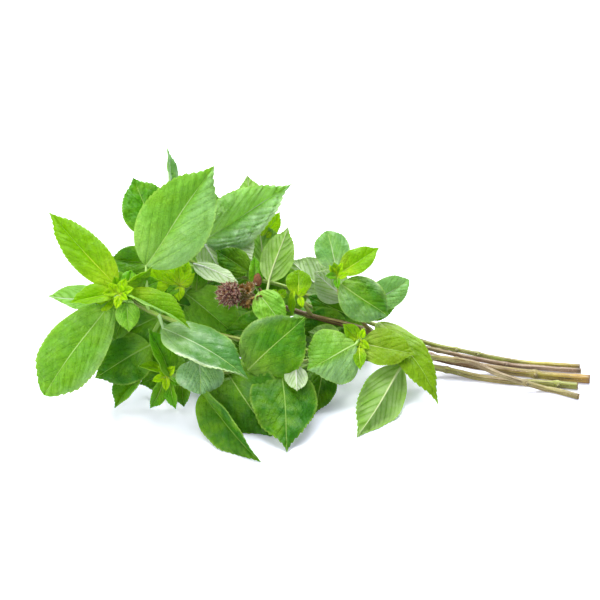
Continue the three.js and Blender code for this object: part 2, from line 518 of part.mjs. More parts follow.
const group = new THREE.Group();
for (const name of new Set(placed.map((piece) => piece.name))) {
  const solid = fused(placed.filter((piece) => piece.name === name).map((piece) => piece.solid));
  const [color, roughness] = FINISHES[name.split("_").pop()];
  group.add(meshOf(solid, name, color, roughness));
}

export default group;
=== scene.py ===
"""A cut bunch of Thai basil lying on a white table.

Lengths in the tables are millimetres in the row frame, and become metres where a mesh is made. A place is
[across, rise, near]: to the right of the view's middle, above it, and towards the eye.
"""

import json
import logging
import math
from collections.abc import Callable, Sequence
from dataclasses import dataclass, field
from enum import Enum

import bpy
import numpy as np
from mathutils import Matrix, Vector
from mathutils.kdtree import KDTree

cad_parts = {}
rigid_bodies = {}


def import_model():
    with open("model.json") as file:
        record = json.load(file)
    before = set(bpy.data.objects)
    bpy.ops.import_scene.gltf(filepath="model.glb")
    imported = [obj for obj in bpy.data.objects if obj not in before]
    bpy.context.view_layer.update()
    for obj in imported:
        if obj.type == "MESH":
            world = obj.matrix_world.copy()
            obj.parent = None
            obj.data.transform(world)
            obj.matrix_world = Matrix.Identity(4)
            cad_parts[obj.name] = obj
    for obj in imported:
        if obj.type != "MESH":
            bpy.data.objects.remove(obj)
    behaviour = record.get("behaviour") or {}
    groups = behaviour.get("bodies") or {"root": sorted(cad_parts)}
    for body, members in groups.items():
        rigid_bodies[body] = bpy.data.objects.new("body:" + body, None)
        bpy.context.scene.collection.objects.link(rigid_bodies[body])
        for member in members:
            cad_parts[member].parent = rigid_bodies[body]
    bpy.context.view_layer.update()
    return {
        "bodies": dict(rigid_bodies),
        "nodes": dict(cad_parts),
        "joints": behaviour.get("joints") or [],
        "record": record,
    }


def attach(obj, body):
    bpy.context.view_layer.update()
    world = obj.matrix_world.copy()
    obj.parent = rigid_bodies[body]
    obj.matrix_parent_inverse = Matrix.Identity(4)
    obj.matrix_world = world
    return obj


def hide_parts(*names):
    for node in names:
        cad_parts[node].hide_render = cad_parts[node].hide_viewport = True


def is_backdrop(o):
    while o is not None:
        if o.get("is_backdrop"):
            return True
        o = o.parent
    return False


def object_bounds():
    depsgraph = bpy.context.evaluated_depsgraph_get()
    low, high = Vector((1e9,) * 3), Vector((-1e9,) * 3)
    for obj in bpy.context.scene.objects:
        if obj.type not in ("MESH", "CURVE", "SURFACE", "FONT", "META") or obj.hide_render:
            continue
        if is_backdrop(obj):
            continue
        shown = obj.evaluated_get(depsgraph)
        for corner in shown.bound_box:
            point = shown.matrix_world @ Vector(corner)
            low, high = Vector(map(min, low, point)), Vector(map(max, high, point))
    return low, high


log = logging.getLogger("basil")

MM = 0.001
GOLDEN_TURN = 137.5  # degrees
Place = tuple[float, float, float]
Array = np.ndarray
Lanes = dict[str, Array]
Thing = bpy.types.Object
Material = bpy.types.Material
Tree = bpy.types.NodeTree
Socket = bpy.types.NodeSocket


# ---------------------------------------------------------------- numbers


def unit(vector: Array) -> Array:
    """The vector, or each vector of an array, at length one."""
    return vector / np.linalg.norm(vector, axis=-1, keepdims=True)


def turned(vector: Array, axis: Array, degrees: float) -> Array:
    """A vector turned about an axis.

    Args:
        vector: The vector.
        axis: The axis, of length one.
        degrees: How far, by the right hand.

    Returns:
        The turned vector.
    """
    angle = math.radians(degrees)
    return (
        vector * math.cos(angle)
        + np.cross(axis, vector) * math.sin(angle)
        + axis * np.dot(axis, vector) * (1 - math.cos(angle))
    )


def ramp(low: float, high: float, value: Array) -> Array:
    """A smooth step.

    Args:
        low: Where it leaves 0.
        high: Where it reaches 1.
        value: Where it is read.

    Returns:
        The step's height, for each value.
    """
    share = np.clip((value - low) / (high - low), 0, 1)
    return share * share * (3 - 2 * share)


def linear(hex_colour: str) -> tuple[float, float, float, float]:
    """The linear colour of an sRGB hex colour.

    Args:
        hex_colour: Six hexadecimal digits after a hash sign.

    Returns:
        Red, green, blue and an alpha of one.
    """
    parts = [int(hex_colour[i : i + 2], 16) / 255 for i in (1, 3, 5)]
    red, green, blue = (p / 12.92 if p <= 0.04045 else ((p + 0.055) / 1.055) ** 2.4 for p in parts)
    return red, green, blue, 1.0


def rgb(hex_colour: str) -> Array:
    """The linear red, green and blue of an sRGB hex colour."""
    return np.array(linear(hex_colour)[:3])


def blend(low: Array, high: Array, share: Array) -> Array:
    """What lies between two values, from low at share 0 to high at share 1."""
    return low * (1 - share) + high * share


def packed(*values: Array | float) -> Array:
    """Values side by side for each point."""
    return np.stack(np.broadcast_arrays(*values), axis=-1)


def moved(origin: Array, *steps: tuple[Array, Array | float]) -> Array:
    """A point, or each of several, moved by steps.

    Args:
        origin: Where to start.
        steps: For each step its direction, and how far it goes, for each point to make.

    Returns:
        The points.
    """
    for way, reach in steps:
        origin = origin + way * np.asarray(reach, float)[..., None]
    return origin


@dataclass(frozen=True)
class Eye:
    """Where the bunch is looked at from, which the places are laid out by."""

    tilt: float = math.radians(32)
    distance: float = 1125.0
    across: float = 100.0
    drop: float = 41.1

    @property
    def towards(self) -> Array:
        """The direction from the bunch to the eye."""
        return np.array([0, -math.cos(self.tilt), math.sin(self.tilt)])

    @property
    def up(self) -> Array:
        """The view's upright direction."""
        return np.array([0, math.sin(self.tilt), math.cos(self.tilt)])

    @property
    def middle(self) -> Array:
        """The point that shows in the view's middle."""
        return self.up * self.drop - np.array([self.across, 0, 0])

    @property
    def point(self) -> Array:
        """The eye itself."""
        return self.middle + self.towards * self.distance

    def seen(self, place: Place, least: float = 0.0) -> Array:
        """The point that shows at a place.

        Args:
            place: Across, rise and near.
            least: The lowest height that the point may have.
        """
        across, rise, near = place
        shown = self.middle + self.up * rise + np.array([across, 0, 0])
        eye = self.point
        share = min(1 - near / self.distance, (eye[2] - least) / (eye[2] - shown[2]))
        return eye + (shown - eye) * share


EYE = Eye()


class Curve:
    """A centripetal Catmull-Rom curve through points, walked by its length."""

    STEPS = 200
    NEAR = 1e-4  # how far from a point its direction is taken
    STRIDE = 0.002  # of the search for a place across

    def __init__(self, points: Sequence[Array]) -> None:
        """Measures the curve through these points."""
        self.points = [np.asarray(p, float) for p in points]
        samples = np.array([self.at_parameter(i / self.STEPS) for i in range(self.STEPS + 1)])
        steps = np.linalg.norm(np.diff(samples, axis=0), axis=1)
        self.lengths = np.concatenate([[0.0], np.cumsum(steps)])
        self.length = float(self.lengths[-1])

    def at_parameter(self, t: float) -> Array:
        """The point at parameter t, from 0 to 1 in equal shares for each stretch."""
        points, last = self.points, len(self.points) - 1
        whole = min(int(math.floor(last * t)), last - 1)
        weight = last * t - whole
        p1, p2 = points[whole], points[whole + 1]
        p0 = points[whole - 1] if whole > 0 else 2 * points[0] - points[1]
        p3 = points[whole + 2] if whole + 2 <= last else 2 * points[last] - points[last - 1]
        d0, d1, d2 = (float(np.sum((b - a) ** 2)) ** 0.25 for a, b in ((p0, p1), (p1, p2), (p2, p3)))
        m1 = ((p1 - p0) / d0 - (p2 - p0) / (d0 + d1) + (p2 - p1) / d1) * d1
        m2 = ((p2 - p1) / d1 - (p3 - p1) / (d1 + d2) + (p3 - p2) / d2) * d1
        square = 3 * (p2 - p1) - 2 * m1 - m2
        cube = 2 * (p1 - p2) + m1 + m2
        return p1 + m1 * weight + square * weight**2 + cube * weight**3

    def parameter(self, share: float) -> float:
        """The parameter at a share of the length."""
        return float(np.interp(share * self.length, self.lengths, np.arange(self.STEPS + 1))) / self.STEPS

    def at(self, share: float) -> Array:
        """The point at a share of the length."""
        return self.at_parameter(self.parameter(share))

    def tangent(self, share: float) -> Array:
        """The unit direction at a share of the length."""
        t = self.parameter(share)
        return unit(self.at_parameter(min(t + self.NEAR, 1)) - self.at_parameter(max(t - self.NEAR, 0)))

    def share_at(self, across: float) -> float:
        """The share of the length at which the curve passes a place across."""
        share = 0.0
        while share < 1 and self.at(share)[0] > across - EYE.across:
            share += self.STRIDE
        return share


# ---------------------------------------------------------------- meshes


@dataclass
class Blanks:
    """The sheets and tubes that the pieces are shaped from, each modelled once and then copied."""

    made: dict[tuple[str, int, int], bpy.types.Mesh] = field(default_factory=dict)

    def sheet(self, columns: int, rows: int) -> bpy.types.Mesh:
        """A flat grid of this many faces along and across."""
        key = ("sheet", columns, rows)
        if key not in self.made:
            bpy.ops.mesh.primitive_grid_add(
                x_subdivisions=columns, y_subdivisions=rows, size=2, calc_uvs=False
            )
            self.made[key] = self._kept()
        return self.made[key]

    def tube(self, rings: int, corners: int) -> bpy.types.Mesh:
        """A capped cylinder of this many rings of corners."""
        key = ("tube", rings, corners)
        if key not in self.made:
            bpy.ops.mesh.primitive_cylinder_add(
                vertices=corners, radius=1, depth=2, end_fill_type="NGON", calc_uvs=False
            )
            mesh = bpy.context.object.data
            if rings > 2:
                upright = [
                    abs(mesh.vertices[e.vertices[0]].co.z - mesh.vertices[e.vertices[1]].co.z) > 1
                    for e in mesh.edges
                ]
                bpy.context.tool_settings.mesh_select_mode = (False, True, False)
                for elements in (mesh.vertices, mesh.polygons):
                    elements.foreach_set("select", [False] * len(elements))
                mesh.edges.foreach_set("select", upright)
                bpy.ops.object.mode_set(mode="EDIT")
                bpy.ops.mesh.subdivide(number_cuts=rings - 2)
                bpy.ops.object.mode_set(mode="OBJECT")
            self.made[key] = self._kept()
        return self.made[key]

    @staticmethod
    def _kept() -> bpy.types.Mesh:
        """The active object's mesh, with the object itself removed."""
        thing = bpy.context.object
        mesh = thing.data
        mesh.use_fake_user = True
        bpy.data.objects.remove(thing)
        return mesh

    def clear(self) -> None:
        """Removes the blanks once every piece is made."""
        for mesh in self.made.values():
            bpy.data.meshes.remove(mesh)
        self.made.clear()


BLANKS = Blanks()


def shaped(
    name: str,
    blank: bpy.types.Mesh,
    points: Array,
    lanes: Lanes,
    materials: Sequence[Material],
    slot: int = 0,
) -> Thing:
    """An object of its own, made from a copy of a blank.

    Args:
        name: The object's name.
        blank: The sheet or tube to copy.
        points: The place in millimetres for each column or ring, and each row or corner.
        lanes: Named values of three for each such point, which the materials read.
        materials: The object's materials.
        slot: The number of the material that all faces take.

    Returns:
        The new object, its place in its mesh.
    """
    mesh = blank.copy()
    thing = bpy.data.objects.new(name, mesh)
    bpy.context.scene.collection.objects.link(thing)
    flat = np.empty(len(mesh.vertices) * 3)
    mesh.vertices.foreach_get("co", flat)
    flat = flat.reshape(-1, 3)
    first, second = points.shape[:2]
    if abs(flat[:, 2]).max() > 0.5:  # a tube
        i = np.rint((flat[:, 2] + 1) / 2 * (first - 1)).astype(int)
        angle = np.arctan2(flat[:, 1], flat[:, 0]) / (2 * math.pi) * second
        j = np.rint(angle).astype(int) % second
    else:
        i = np.rint((flat[:, 0] + 1) / 2 * (first - 1)).astype(int)
        j = np.rint((flat[:, 1] + 1) / 2 * (second - 1)).astype(int)
    mesh.vertices.foreach_set("co", (points[i, j] * MM).ravel())
    for lane_name, values in lanes.items():
        attribute = mesh.attributes.new(lane_name, "FLOAT_VECTOR", "POINT")
        attribute.data.foreach_set("vector", np.broadcast_to(values, points.shape)[i, j].ravel())
    for material in materials:
        mesh.materials.append(material)
    mesh.polygons.foreach_set("material_index", [slot] * len(mesh.polygons))
    mesh.polygons.foreach_set("use_smooth", [True] * len(mesh.polygons))
    mesh.update()
    return thing


def select(things: Sequence[Thing]) -> None:
    """Selects these objects alone, the first of them active."""
    bpy.ops.object.select_all(action="DESELECT")
    for thing in things:
        thing.select_set(True)
    bpy.context.view_layer.objects.active = things[0]


def joined(name: str, things: Sequence[Thing]) -> Thing:
    """These objects as one, under a new name."""
    select(things)
    if len(things) > 1:
        bpy.ops.object.join()
    whole = bpy.context.object
    whole.name = whole.data.name = name
    return whole


def thickened(sheet: Thing, thickness: float) -> None:
    """Makes a sheet solid. Its under side takes the next material.

    Args:
        sheet: The sheet.
        thickness: Its thickness in millimetres, half of it on each side.
    """
    select([sheet])
    solidify = sheet.modifiers.new("thickness", "SOLIDIFY")
    solidify.thickness = thickness * MM
    solidify.offset = 0
    solidify.material_offset = 1
    bpy.ops.object.modifier_apply(modifier=solidify.name)


def dressed(piece: Thing, node: str, sharp: float) -> Thing:
    """Puts a finished piece in its node's place.

    Args:
        piece: The piece.
        node: The node of the frame that it takes the place of.
        sharp: The angle in degrees from which an edge stays sharp.

    Returns:
        The piece.
    """
    select([piece])
    bpy.ops.object.shade_smooth_by_angle(angle=math.radians(sharp))
    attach(piece, "root")
    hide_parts(node)
    return piece


Section = Callable[[Array], Array]


def round_section(angle: Array) -> Array:
    """The section of a round rod."""
    return np.ones_like(angle)


def square_section(angle: Array) -> Array:
    """The section of a basil stem: a square with rounded corners and slightly hollow sides."""
    power = 3.4
    squared = (np.abs(np.cos(angle)) ** power + np.abs(np.sin(angle)) ** power) ** (-1 / power)
    return 0.883 * squared * (1 - 0.035 * np.cos(2 * angle) ** 4)


def rod(
    name: str,
    centres: Array,
    radii: Array,
    side: Array,
    materials: Sequence[Material],
    tones: Array,
    slot: int = 0,
    corners: int = 8,
    section: Section = round_section,
) -> Thing:
    """A closed rod along a row of points, never lower than the table.

    Args:
        name: The object's name.
        centres: The middle of each ring.
        radii: The radius of each ring.
        side: The direction of the section's first corner, for all rings or for each.
        materials: The object's materials.
        tones: The linear colour of all rings or of each.
        slot: The number of the material that all faces take.
        corners: How many corners a ring has.
        section: How far each corner stands out, by its angle, over the radius.

    Returns:
        The new object, its lane "lie" holding millimetres along, millimetres round and its radius.
    """
    along = unit(np.gradient(centres, axis=0))
    side = unit(side - along * np.sum(side * along, axis=1, keepdims=True))
    up = np.cross(along, side)
    angle = 2 * math.pi * np.arange(corners) / corners
    reach = radii[:, None] * section(angle)
    points = moved(
        centres[:, None], (side[:, None], reach * np.cos(angle)), (up[:, None], reach * np.sin(angle))
    )
    points[..., 2] = np.maximum(points[..., 2], 0)
    way = np.concatenate([[0.0], np.cumsum(np.linalg.norm(np.diff(centres, axis=0), axis=1))])
    lanes = {
        "lie": packed(way[:, None], angle * radii.max(), radii[:, None]),
        "tone": np.broadcast_to(tones, centres.shape)[:, None],
    }
    return shaped(name, BLANKS.tube(len(centres), corners), points, lanes, materials, slot)


# ---------------------------------------------------------------- finishes


def wire(tree: Tree, kind: str, *values: object, out: int | str = 0, **settings: object) -> Socket | None:
    """Adds a node.

    Args:
        tree: The node tree.
        kind: The node's type, without its "ShaderNode".
        values: For each input in order, a value or a socket to link; None leaves it as it is. A dict gives
            inputs by name.
        out: The output to hand back.
        settings: The node's own settings.

    Returns:
        The output socket, where the node has one.
    """
    node = tree.nodes.new("ShaderNode" + kind)
    for setting, value in settings.items():
        setattr(node, setting, value)
    pairs: list[tuple[int | str, object]] = []
    for i, value in enumerate(values):
        pairs += value.items() if isinstance(value, dict) else [(i, value)]
    for key, value in pairs:
        if isinstance(value, Socket):
            tree.links.new(value, node.inputs[key])
        elif value is not None:
            node.inputs[key].default_value = value
    return node.outputs[out] if len(node.outputs) else None


def new_material(name: str) -> tuple[Material, Tree]:
    """An empty material with nodes, and its node tree."""
    material = bpy.data.materials.new(name)
    material.use_nodes = True
    material.node_tree.nodes.clear()
    return material, material.node_tree


def lane(tree: Tree, name: str, out: str = "Vector") -> Socket:
    """One of the mesh's own lanes."""
    return wire(tree, "Attribute", out=out, attribute_name=name)


def lane_parts(tree: Tree, name: str) -> list[Socket]:
    """The three values of one of the mesh's own lanes."""
    return [wire(tree, "SeparateXYZ", lane(tree, name), out=i) for i in range(3)]


def maths(tree: Tree, operation: str, *values: object, clamp: bool = False) -> Socket:
    """The result of a maths node."""
    return wire(tree, "Math", *values, operation=operation, use_clamp=clamp)


def times(tree: Tree, first: object, second: object) -> Socket:
    """The product of two values."""
    return maths(tree, "MULTIPLY", first, second)


def summed(tree: Tree, *parts: tuple[Socket, float]) -> Socket:
    """The sum of values, each times its weight."""
    total: object = 0.0
    for value, weight in parts:
        total = maths(tree, "MULTIPLY_ADD", value, weight, total)
    return total


def spread(
    tree: Tree, value: object, low: float, high: float, to_low: float = 0.0, to_high: float = 1.0
) -> Socket:
    """A value brought smoothly from one range to another.

    Args:
        tree: The node tree.
        value: The value.
        low: Where the first range starts; it may lie above its end.
        high: Where it ends.
        to_low: What low becomes.
        to_high: What high becomes.

    Returns:
        The new value, which stays between the last two.
    """
    return wire(tree, "MapRange", value, low, high, to_low, to_high, interpolation_type="SMOOTHSTEP")


def noise(
    tree: Tree, place: Socket, scale: float, detail: float, roughness: float = 0.5, out: int | str = 0
) -> Socket:
    """Soft noise over a place.

    Args:
        tree: The node tree.
        place: The place, in millimetres or metres.
        scale: Waves in one of these.
        detail: How many finer waves lie on them.
        roughness: How strong the finer waves are.
        out: The output, its number or "Color".

    Returns:
        The noise.
    """
    values = {"Scale": scale, "Detail": detail, "Roughness": roughness}
    return wire(tree, "TexNoise", place, values, out=out)


def drawn(tree: Tree, lie: Socket, *waves: float) -> Socket:
    """The lane "lie" scaled to so many waves in a millimetre along a piece, round it and by its radius."""
    return wire(tree, "VectorMath", lie, waves, operation="MULTIPLY")


def layered(tree: Tree, colour: object, *layers: tuple[object, str | tuple[float, float, float]]) -> Socket:
    """A colour under layers of others.

    Args:
        tree: The node tree.
        colour: The colour at the bottom.
        layers: For each in turn its share and its colour. A hex colour covers, three factors multiply.

    Returns:
        The colour that shows.
    """
    for share, tint in layers:
        covers = isinstance(tint, str)
        colour = wire(
            tree, "Mix", {0: share, 6: colour, 7: linear(tint) if covers else (*tint, 1.0)}, out=2,
            data_type="RGBA", blend_type="MIX" if covers else "MULTIPLY",
        )
    return colour


def surfaced(
    tree: Tree,
    skin: dict[str, object],
    height: Socket | None = None,
    depth: float = 1.0,
    strength: float = 1.0,
    clear: Socket | float | None = None,
    glow: Socket | None = None,
) -> None:
    """Closes a material.

    Args:
        tree: Its node tree.
        skin: The inputs of its shader, by name.
        height: Its relief, where it has one.
        depth: The millimetres that one of the relief stands for.
        strength: How strongly the relief shows.
        clear: The share of light that passes through, where some does.
        glow: The colour of that light, or None for its own colour.
    """
    bump = {}
    if height is not None:
        relief = {"Height": height, "Distance": depth * MM, "Strength": strength}
        bump["Normal"] = wire(tree, "Bump", relief)
    shader = wire(tree, "BsdfPrincipled", skin | bump)
    if clear is not None:
        light = skin["Base Color"] if glow is None else glow
        through = wire(tree, "BsdfTranslucent", {"Color": light} | bump)
        shader = wire(tree, "MixShader", clear, shader, through)
    wire(tree, "OutputMaterial", shader)


@dataclass(frozen=True)
class LeafFinish:
    """One side of a fresh basil leaf: soft, thin, green tissue with a waxy skin that lets light through.

    The lanes of the mesh hold its colour, its place on the leaf, its place between the veins, and its skin:
    its wax, the light it lets through and the share of the leaf's length.
    """

    name: str
    pale: str  # what the side's own colour leans to
    paleness: float
    vein: tuple[float, float, float]  # what the green is multiplied by on a side vein
    rib: str
    rib_share: float
    midrib: float  # millimetres from its middle to its edge at the foot
    roughness: float
    wax: float  # over the leaf's own share of wax
    relief: float  # millimetres: how deep the veins lie, or stand if below 0
    glow: str

    def material(self) -> Material:
        """Builds the material."""
        material, tree = new_material(self.name)
        tone = lane(tree, "tone", "Color")
        x, y, seed = lane_parts(tree, "lie")
        phase, inset, pitch = lane_parts(tree, "vein")
        wax, clear, far = lane_parts(tree, "skin")

        # Side veins: lines about half a millimetre wide that fade towards the margin.
        off = maths(tree, "FRACT", maths(tree, "ADD", phase, 0.5))
        off = maths(tree, "ABSOLUTE", maths(tree, "SUBTRACT", off, 0.5))
        between = spread(tree, off, 0.03, 0.36, 1, 0)
        line = spread(tree, times(tree, off, pitch), 0.05, 0.4, 1, 0)
        line = times(tree, line, spread(tree, inset, 0.5, 1.0, 1.0, 0.25))
        # Fine veins: a net with meshes of 1.7 mm between the side veins, and one of 0.6 mm inside that.
        flat = wire(tree, "CombineXYZ", x, y, seed)
        bent = wire(tree, "VectorMath", flat, noise(tree, flat, 0.7, 1.0, out="Color"), operation="ADD")
        coarse = wire(tree, "TexVoronoi", bent, {"Scale": 0.6}, feature="DISTANCE_TO_EDGE")
        fine = wire(tree, "TexVoronoi", bent, {"Scale": 1.7}, feature="DISTANCE_TO_EDGE")
        swell = noise(tree, bent, 0.34, 1.0)
        net = spread(tree, coarse, 0.0, 0.16, 1, 0)
        mesh = spread(tree, fine, 0.0, 0.22, 1, 0)
        slim = spread(tree, far, 0.0, 1.0, self.midrib, 0.35 * self.midrib)
        rib = spread(tree, maths(tree, "DIVIDE", maths(tree, "ABSOLUTE", y), slim), 0.3, 1.0, 1, 0)

        # Tissue: mottled over about a centimetre, yellower where it has little wax and at the margin. It is
        # darker in the furrows along the side veins, painted shade, and patches of the sheen noise paint a
        # sheen.
        patches = noise(tree, flat, 0.11, 3.0, 0.55)
        grain = noise(tree, flat, 2.4, 2.0)
        sheen = noise(tree, flat, 0.2, 2.0)
        unwaxed = maths(tree, "MULTIPLY_ADD", wax, -0.9, 1.0, clamp=True)
        # Painted shade: the colour is darkened in the furrows beside the side veins.
        furrow_shade = times(tree, between, spread(tree, inset, 0.6, 1.0, 0.85, 0.2))
        furrow_shade = times(tree, furrow_shade, spread(tree, pitch, 1.4, 2.4, 0.1, 1.0))
        colour = layered(
            tree, tone,
            (self.paleness, self.pale),
            (times(tree, spread(tree, patches, 0.38, 0.7, 0.0, 0.5), unwaxed), "#8CC000"),
            # Painted sheen: lighter and whiter where the sheen noise is high, darker where it is low.
            (spread(tree, sheen, 0.5, 0.75, 0.0, 0.4), (1.3, 1.2, 1.3)),
            (spread(tree, sheen, 0.5, 0.28, 0.0, 0.5), (0.72, 0.8, 0.6)),
            (spread(tree, grain, 0.3, 0.75, 0.0, 0.14), "#2A6A0A"),
            (spread(tree, inset, 0.9, 1.0, 0.0, 0.36), "#BCE060"),
            (furrow_shade, (0.74, 0.82, 0.66)),
            (times(tree, mesh, 0.15), self.vein),
            (times(tree, net, 0.35), self.vein),
            (line, self.vein),
            (times(tree, rib, self.rib_share), self.rib),
        )

        # Relief, in millimetres: every vein is a groove above and a ridge below; the tissue puffs between
        # them in cushions of 1.7 mm, on soft swells of 3 mm.
        deep = -self.relief
        height = summed(
            tree, (line, deep), (net, 0.4 * deep), (mesh, 0.18 * deep), (rib, 1.2 * deep), (coarse, 0.34),
            (swell, 0.6), (grain, 0.05),
        )
        coat = spread(tree, sheen, 0.35, 0.65, 0.25 * self.wax, 1.5 * self.wax)
        skin = {
            "Base Color": colour,
            "Roughness": spread(tree, grain, 0.2, 0.8, self.roughness - 0.06, self.roughness + 0.08),
            "IOR": 1.4,
            "Specular IOR Level": 0.32,
            "Coat Weight": times(tree, wax, coat),
            "Coat Roughness": 0.3,
        }
        surfaced(tree, skin, height, clear=clear, glow=layered(tree, colour, (0.6, self.glow)))
        return material


@dataclass(frozen=True)
class RibFinish:
    """The leaf stalk and the midrib: smooth, juicy, pale tissue, fibrous along its length."""

    name: str = "leaf_stalk"
    roughness: float = 0.42

    def material(self) -> Material:
        """Builds the material."""
        material, tree = new_material(self.name)
        fibre = noise(tree, drawn(tree, lane(tree, "lie"), 0.25, 3.0, 0.0), 1.0, 3.0)
        colour = layered(
            tree, lane(tree, "tone", "Color"), (spread(tree, fibre, 0.35, 0.7, 0.0, 0.16), "#6F8A2C")
        )
        skin = {
            "Base Color": colour, "Roughness": self.roughness, "Coat Weight": 0.15, "Coat Roughness": 0.3
        }
        surfaced(tree, skin, fibre, 0.08, 0.7, clear=0.2)
        return material


@dataclass(frozen=True)
class BarkFinish:
    """The skin of a basil stem: green or brown rind with fine ridges along it, and small pale pores."""

    name: str
    blush: str
    fleck: str
    fleck_share: float
    roughness: float = 0.45

    def material(self) -> Material:
        """Builds the material."""
        material, tree = new_material(self.name)
        lie = lane(tree, "lie")
        # Fibres run along the stem: 0.35 mm apart round it and a centimetre or so long.
        fibre = noise(tree, drawn(tree, lie, 0.12, 2.8, 0.0), 1.0, 4.0, 0.65)
        streak = noise(tree, drawn(tree, lie, 0.035, 1.3, 0.0), 1.0, 2.0)
        blotch = noise(tree, wire(tree, "TexCoord", out="Object"), 140.0, 3.0)
        # Pores are pale dashes of about 0.7 mm, a millimetre or two apart.
        pore = wire(tree, "TexVoronoi", drawn(tree, lie, 0.45, 1.1, 0.0), {"Scale": 1.0}, feature="F1")
        pore = spread(tree, pore, 0.1, 0.2, 1, 0)
        # Where the rind has dried it has sunk into dark creases, a millimetre wide and centimetres long.
        crease = noise(tree, drawn(tree, lie, 0.05, 1.15, 3.0), 1.0, 2.0)
        crease = spread(tree, crease, 0.46, 0.36, 0, 1)
        colour = layered(
            tree, lane(tree, "tone", "Color"),
            (spread(tree, streak, 0.48, 0.6, 0.0, 0.75), self.blush),
            (spread(tree, blotch, 0.45, 0.7, 0.0, 0.36), "#6A5428"),
            (spread(tree, fibre, 0.5, 0.72, 0.0, 0.6), self.fleck),
            (spread(tree, fibre, 0.45, 0.27, 0.0, 0.48), "#4A3A22"),
            (times(tree, crease, 0.7), "#3E2E1A"),
            (times(tree, pore, self.fleck_share), "#D9CBA0"),
        )
        skin = {
            "Base Color": colour,
            "Roughness": spread(tree, fibre, 0.3, 0.7, self.roughness + 0.1, self.roughness - 0.05),
        }
        surfaced(tree, skin, summed(tree, (fibre, 1.0), (pore, 0.25), (crease, -0.6)), 0.22, 0.9)
        return material


@dataclass(frozen=True)
class PithFinish:
    """A cut across a stem that has begun to dry: spongy buff pith inside a dark ring of wood."""

    name: str = "cut_end"

    def material(self) -> Material:
        """Builds the material."""
        material, tree = new_material(self.name)
        place = wire(tree, "TexCoord", out="Object")
        cells = wire(tree, "TexVoronoi", place, {"Scale": 4200.0}, feature="DISTANCE_TO_EDGE")
        colour = layered(
            tree, lane(tree, "tone", "Color"),
            (spread(tree, cells, 0.0, 0.12, 0.35, 0.0), "#9A8A5A"),
            (spread(tree, noise(tree, place, 900.0, 2.0), 0.4, 0.8, 0.0, 0.4), "#8A6A40"),
        )
        surfaced(tree, {"Base Color": colour, "Roughness": 0.8}, cells, 0.15, 0.8)
        return material


@dataclass(frozen=True)
class BractFinish:
    """The dry, papery scales and cups of a basil flower head, purple-brown and ribbed lengthwise."""

    name: str
    light: str
    dark: str
    roughness: float = 0.62

    def material(self) -> Material:
        """Builds the material."""
        material, tree = new_material(self.name)
        rib = noise(tree, drawn(tree, lane(tree, "lie"), 0.5, 5.0, 0.0), 1.0, 3.0)
        patch = noise(tree, wire(tree, "TexCoord", out="Object"), 420.0, 3.0)
        colour = layered(
            tree, lane(tree, "tone", "Color"),
            (spread(tree, patch, 0.4, 0.7, 0.0, 0.6), self.light),
            (spread(tree, rib, 0.5, 0.3, 0.0, 0.7), self.dark),
        )
        surfaced(tree, {"Base Color": colour, "Roughness": self.roughness}, rib, 0.2, 0.9, clear=0.15)
        return material


@dataclass(frozen=True)
class TableFinish:
    """A white, satin acrylic table top, lit a little from below."""

    name: str = "white_table"

    def material(self) -> Material:
        """Builds the material."""
        material, tree = new_material(self.name)
        haze = noise(tree, wire(tree, "TexCoord", out="Object"), 6.0, 2.0)
        skin = {
            "Base Color": linear("#F1F5FF"),
            "Roughness": spread(tree, haze, 0.3, 0.7, 0.34, 0.4),
            "Emission Color": linear("#E8DCFF"),
            "Emission Strength": 0.17,
        }
        surfaced(tree, skin)
        return material


UPPER = LeafFinish(
    "leaf_upper", pale="#6E9A2E", paleness=0.0, vein=(1.42, 1.28, 1.22), rib="#CCF07C", rib_share=0.88,
    midrib=0.46, roughness=0.42, wax=1.0, relief=0.12, glow="#C0E800",
)
UNDER = LeafFinish(
    "leaf_under", pale="#C2D9A2", paleness=0.5, vein=(0.78, 0.88, 0.6), rib="#DCE8B8", rib_share=0.6,
    midrib=0.8, roughness=0.6, wax=0.2, relief=-0.2, glow="#C8F040",
)
RIB = RibFinish()
GREEN_RIND = BarkFinish("stem_green", blush="#8A8A3C", fleck="#C4D47C", fleck_share=0.3)
BROWN_RIND = BarkFinish("stem_bark", blush="#705038", fleck="#E4DEAA", fleck_share=0.6)
PITH = PithFinish()
FLOWER = BractFinish("flower_bracts", light="#A87E70", dark="#44261F")
CALYX = BractFinish("flower_calyces", light="#C0A050", dark="#5A3824")
HAIR = BractFinish("flower_hairs", light="#EEE6CC", dark="#B8A880", roughness=0.8)
SCALE = BractFinish("bud_scales", light="#C07A40", dark="#5A2E18")
Finish = LeafFinish | RibFinish | BarkFinish | PithFinish | BractFinish | TableFinish


@dataclass
class Palette:
    """Every material of the bunch, made once."""

    made: dict[str, Material] = field(default_factory=dict)

    def __call__(self, *finishes: Finish) -> list[Material]:
        """The materials of these finishes."""
        for finish in finishes:
            if finish.name not in self.made:
                self.made[finish.name] = finish.material()
        return [self.made[finish.name] for finish in finishes]


PALETTE = Palette()


# ---------------------------------------------------------------- leaves


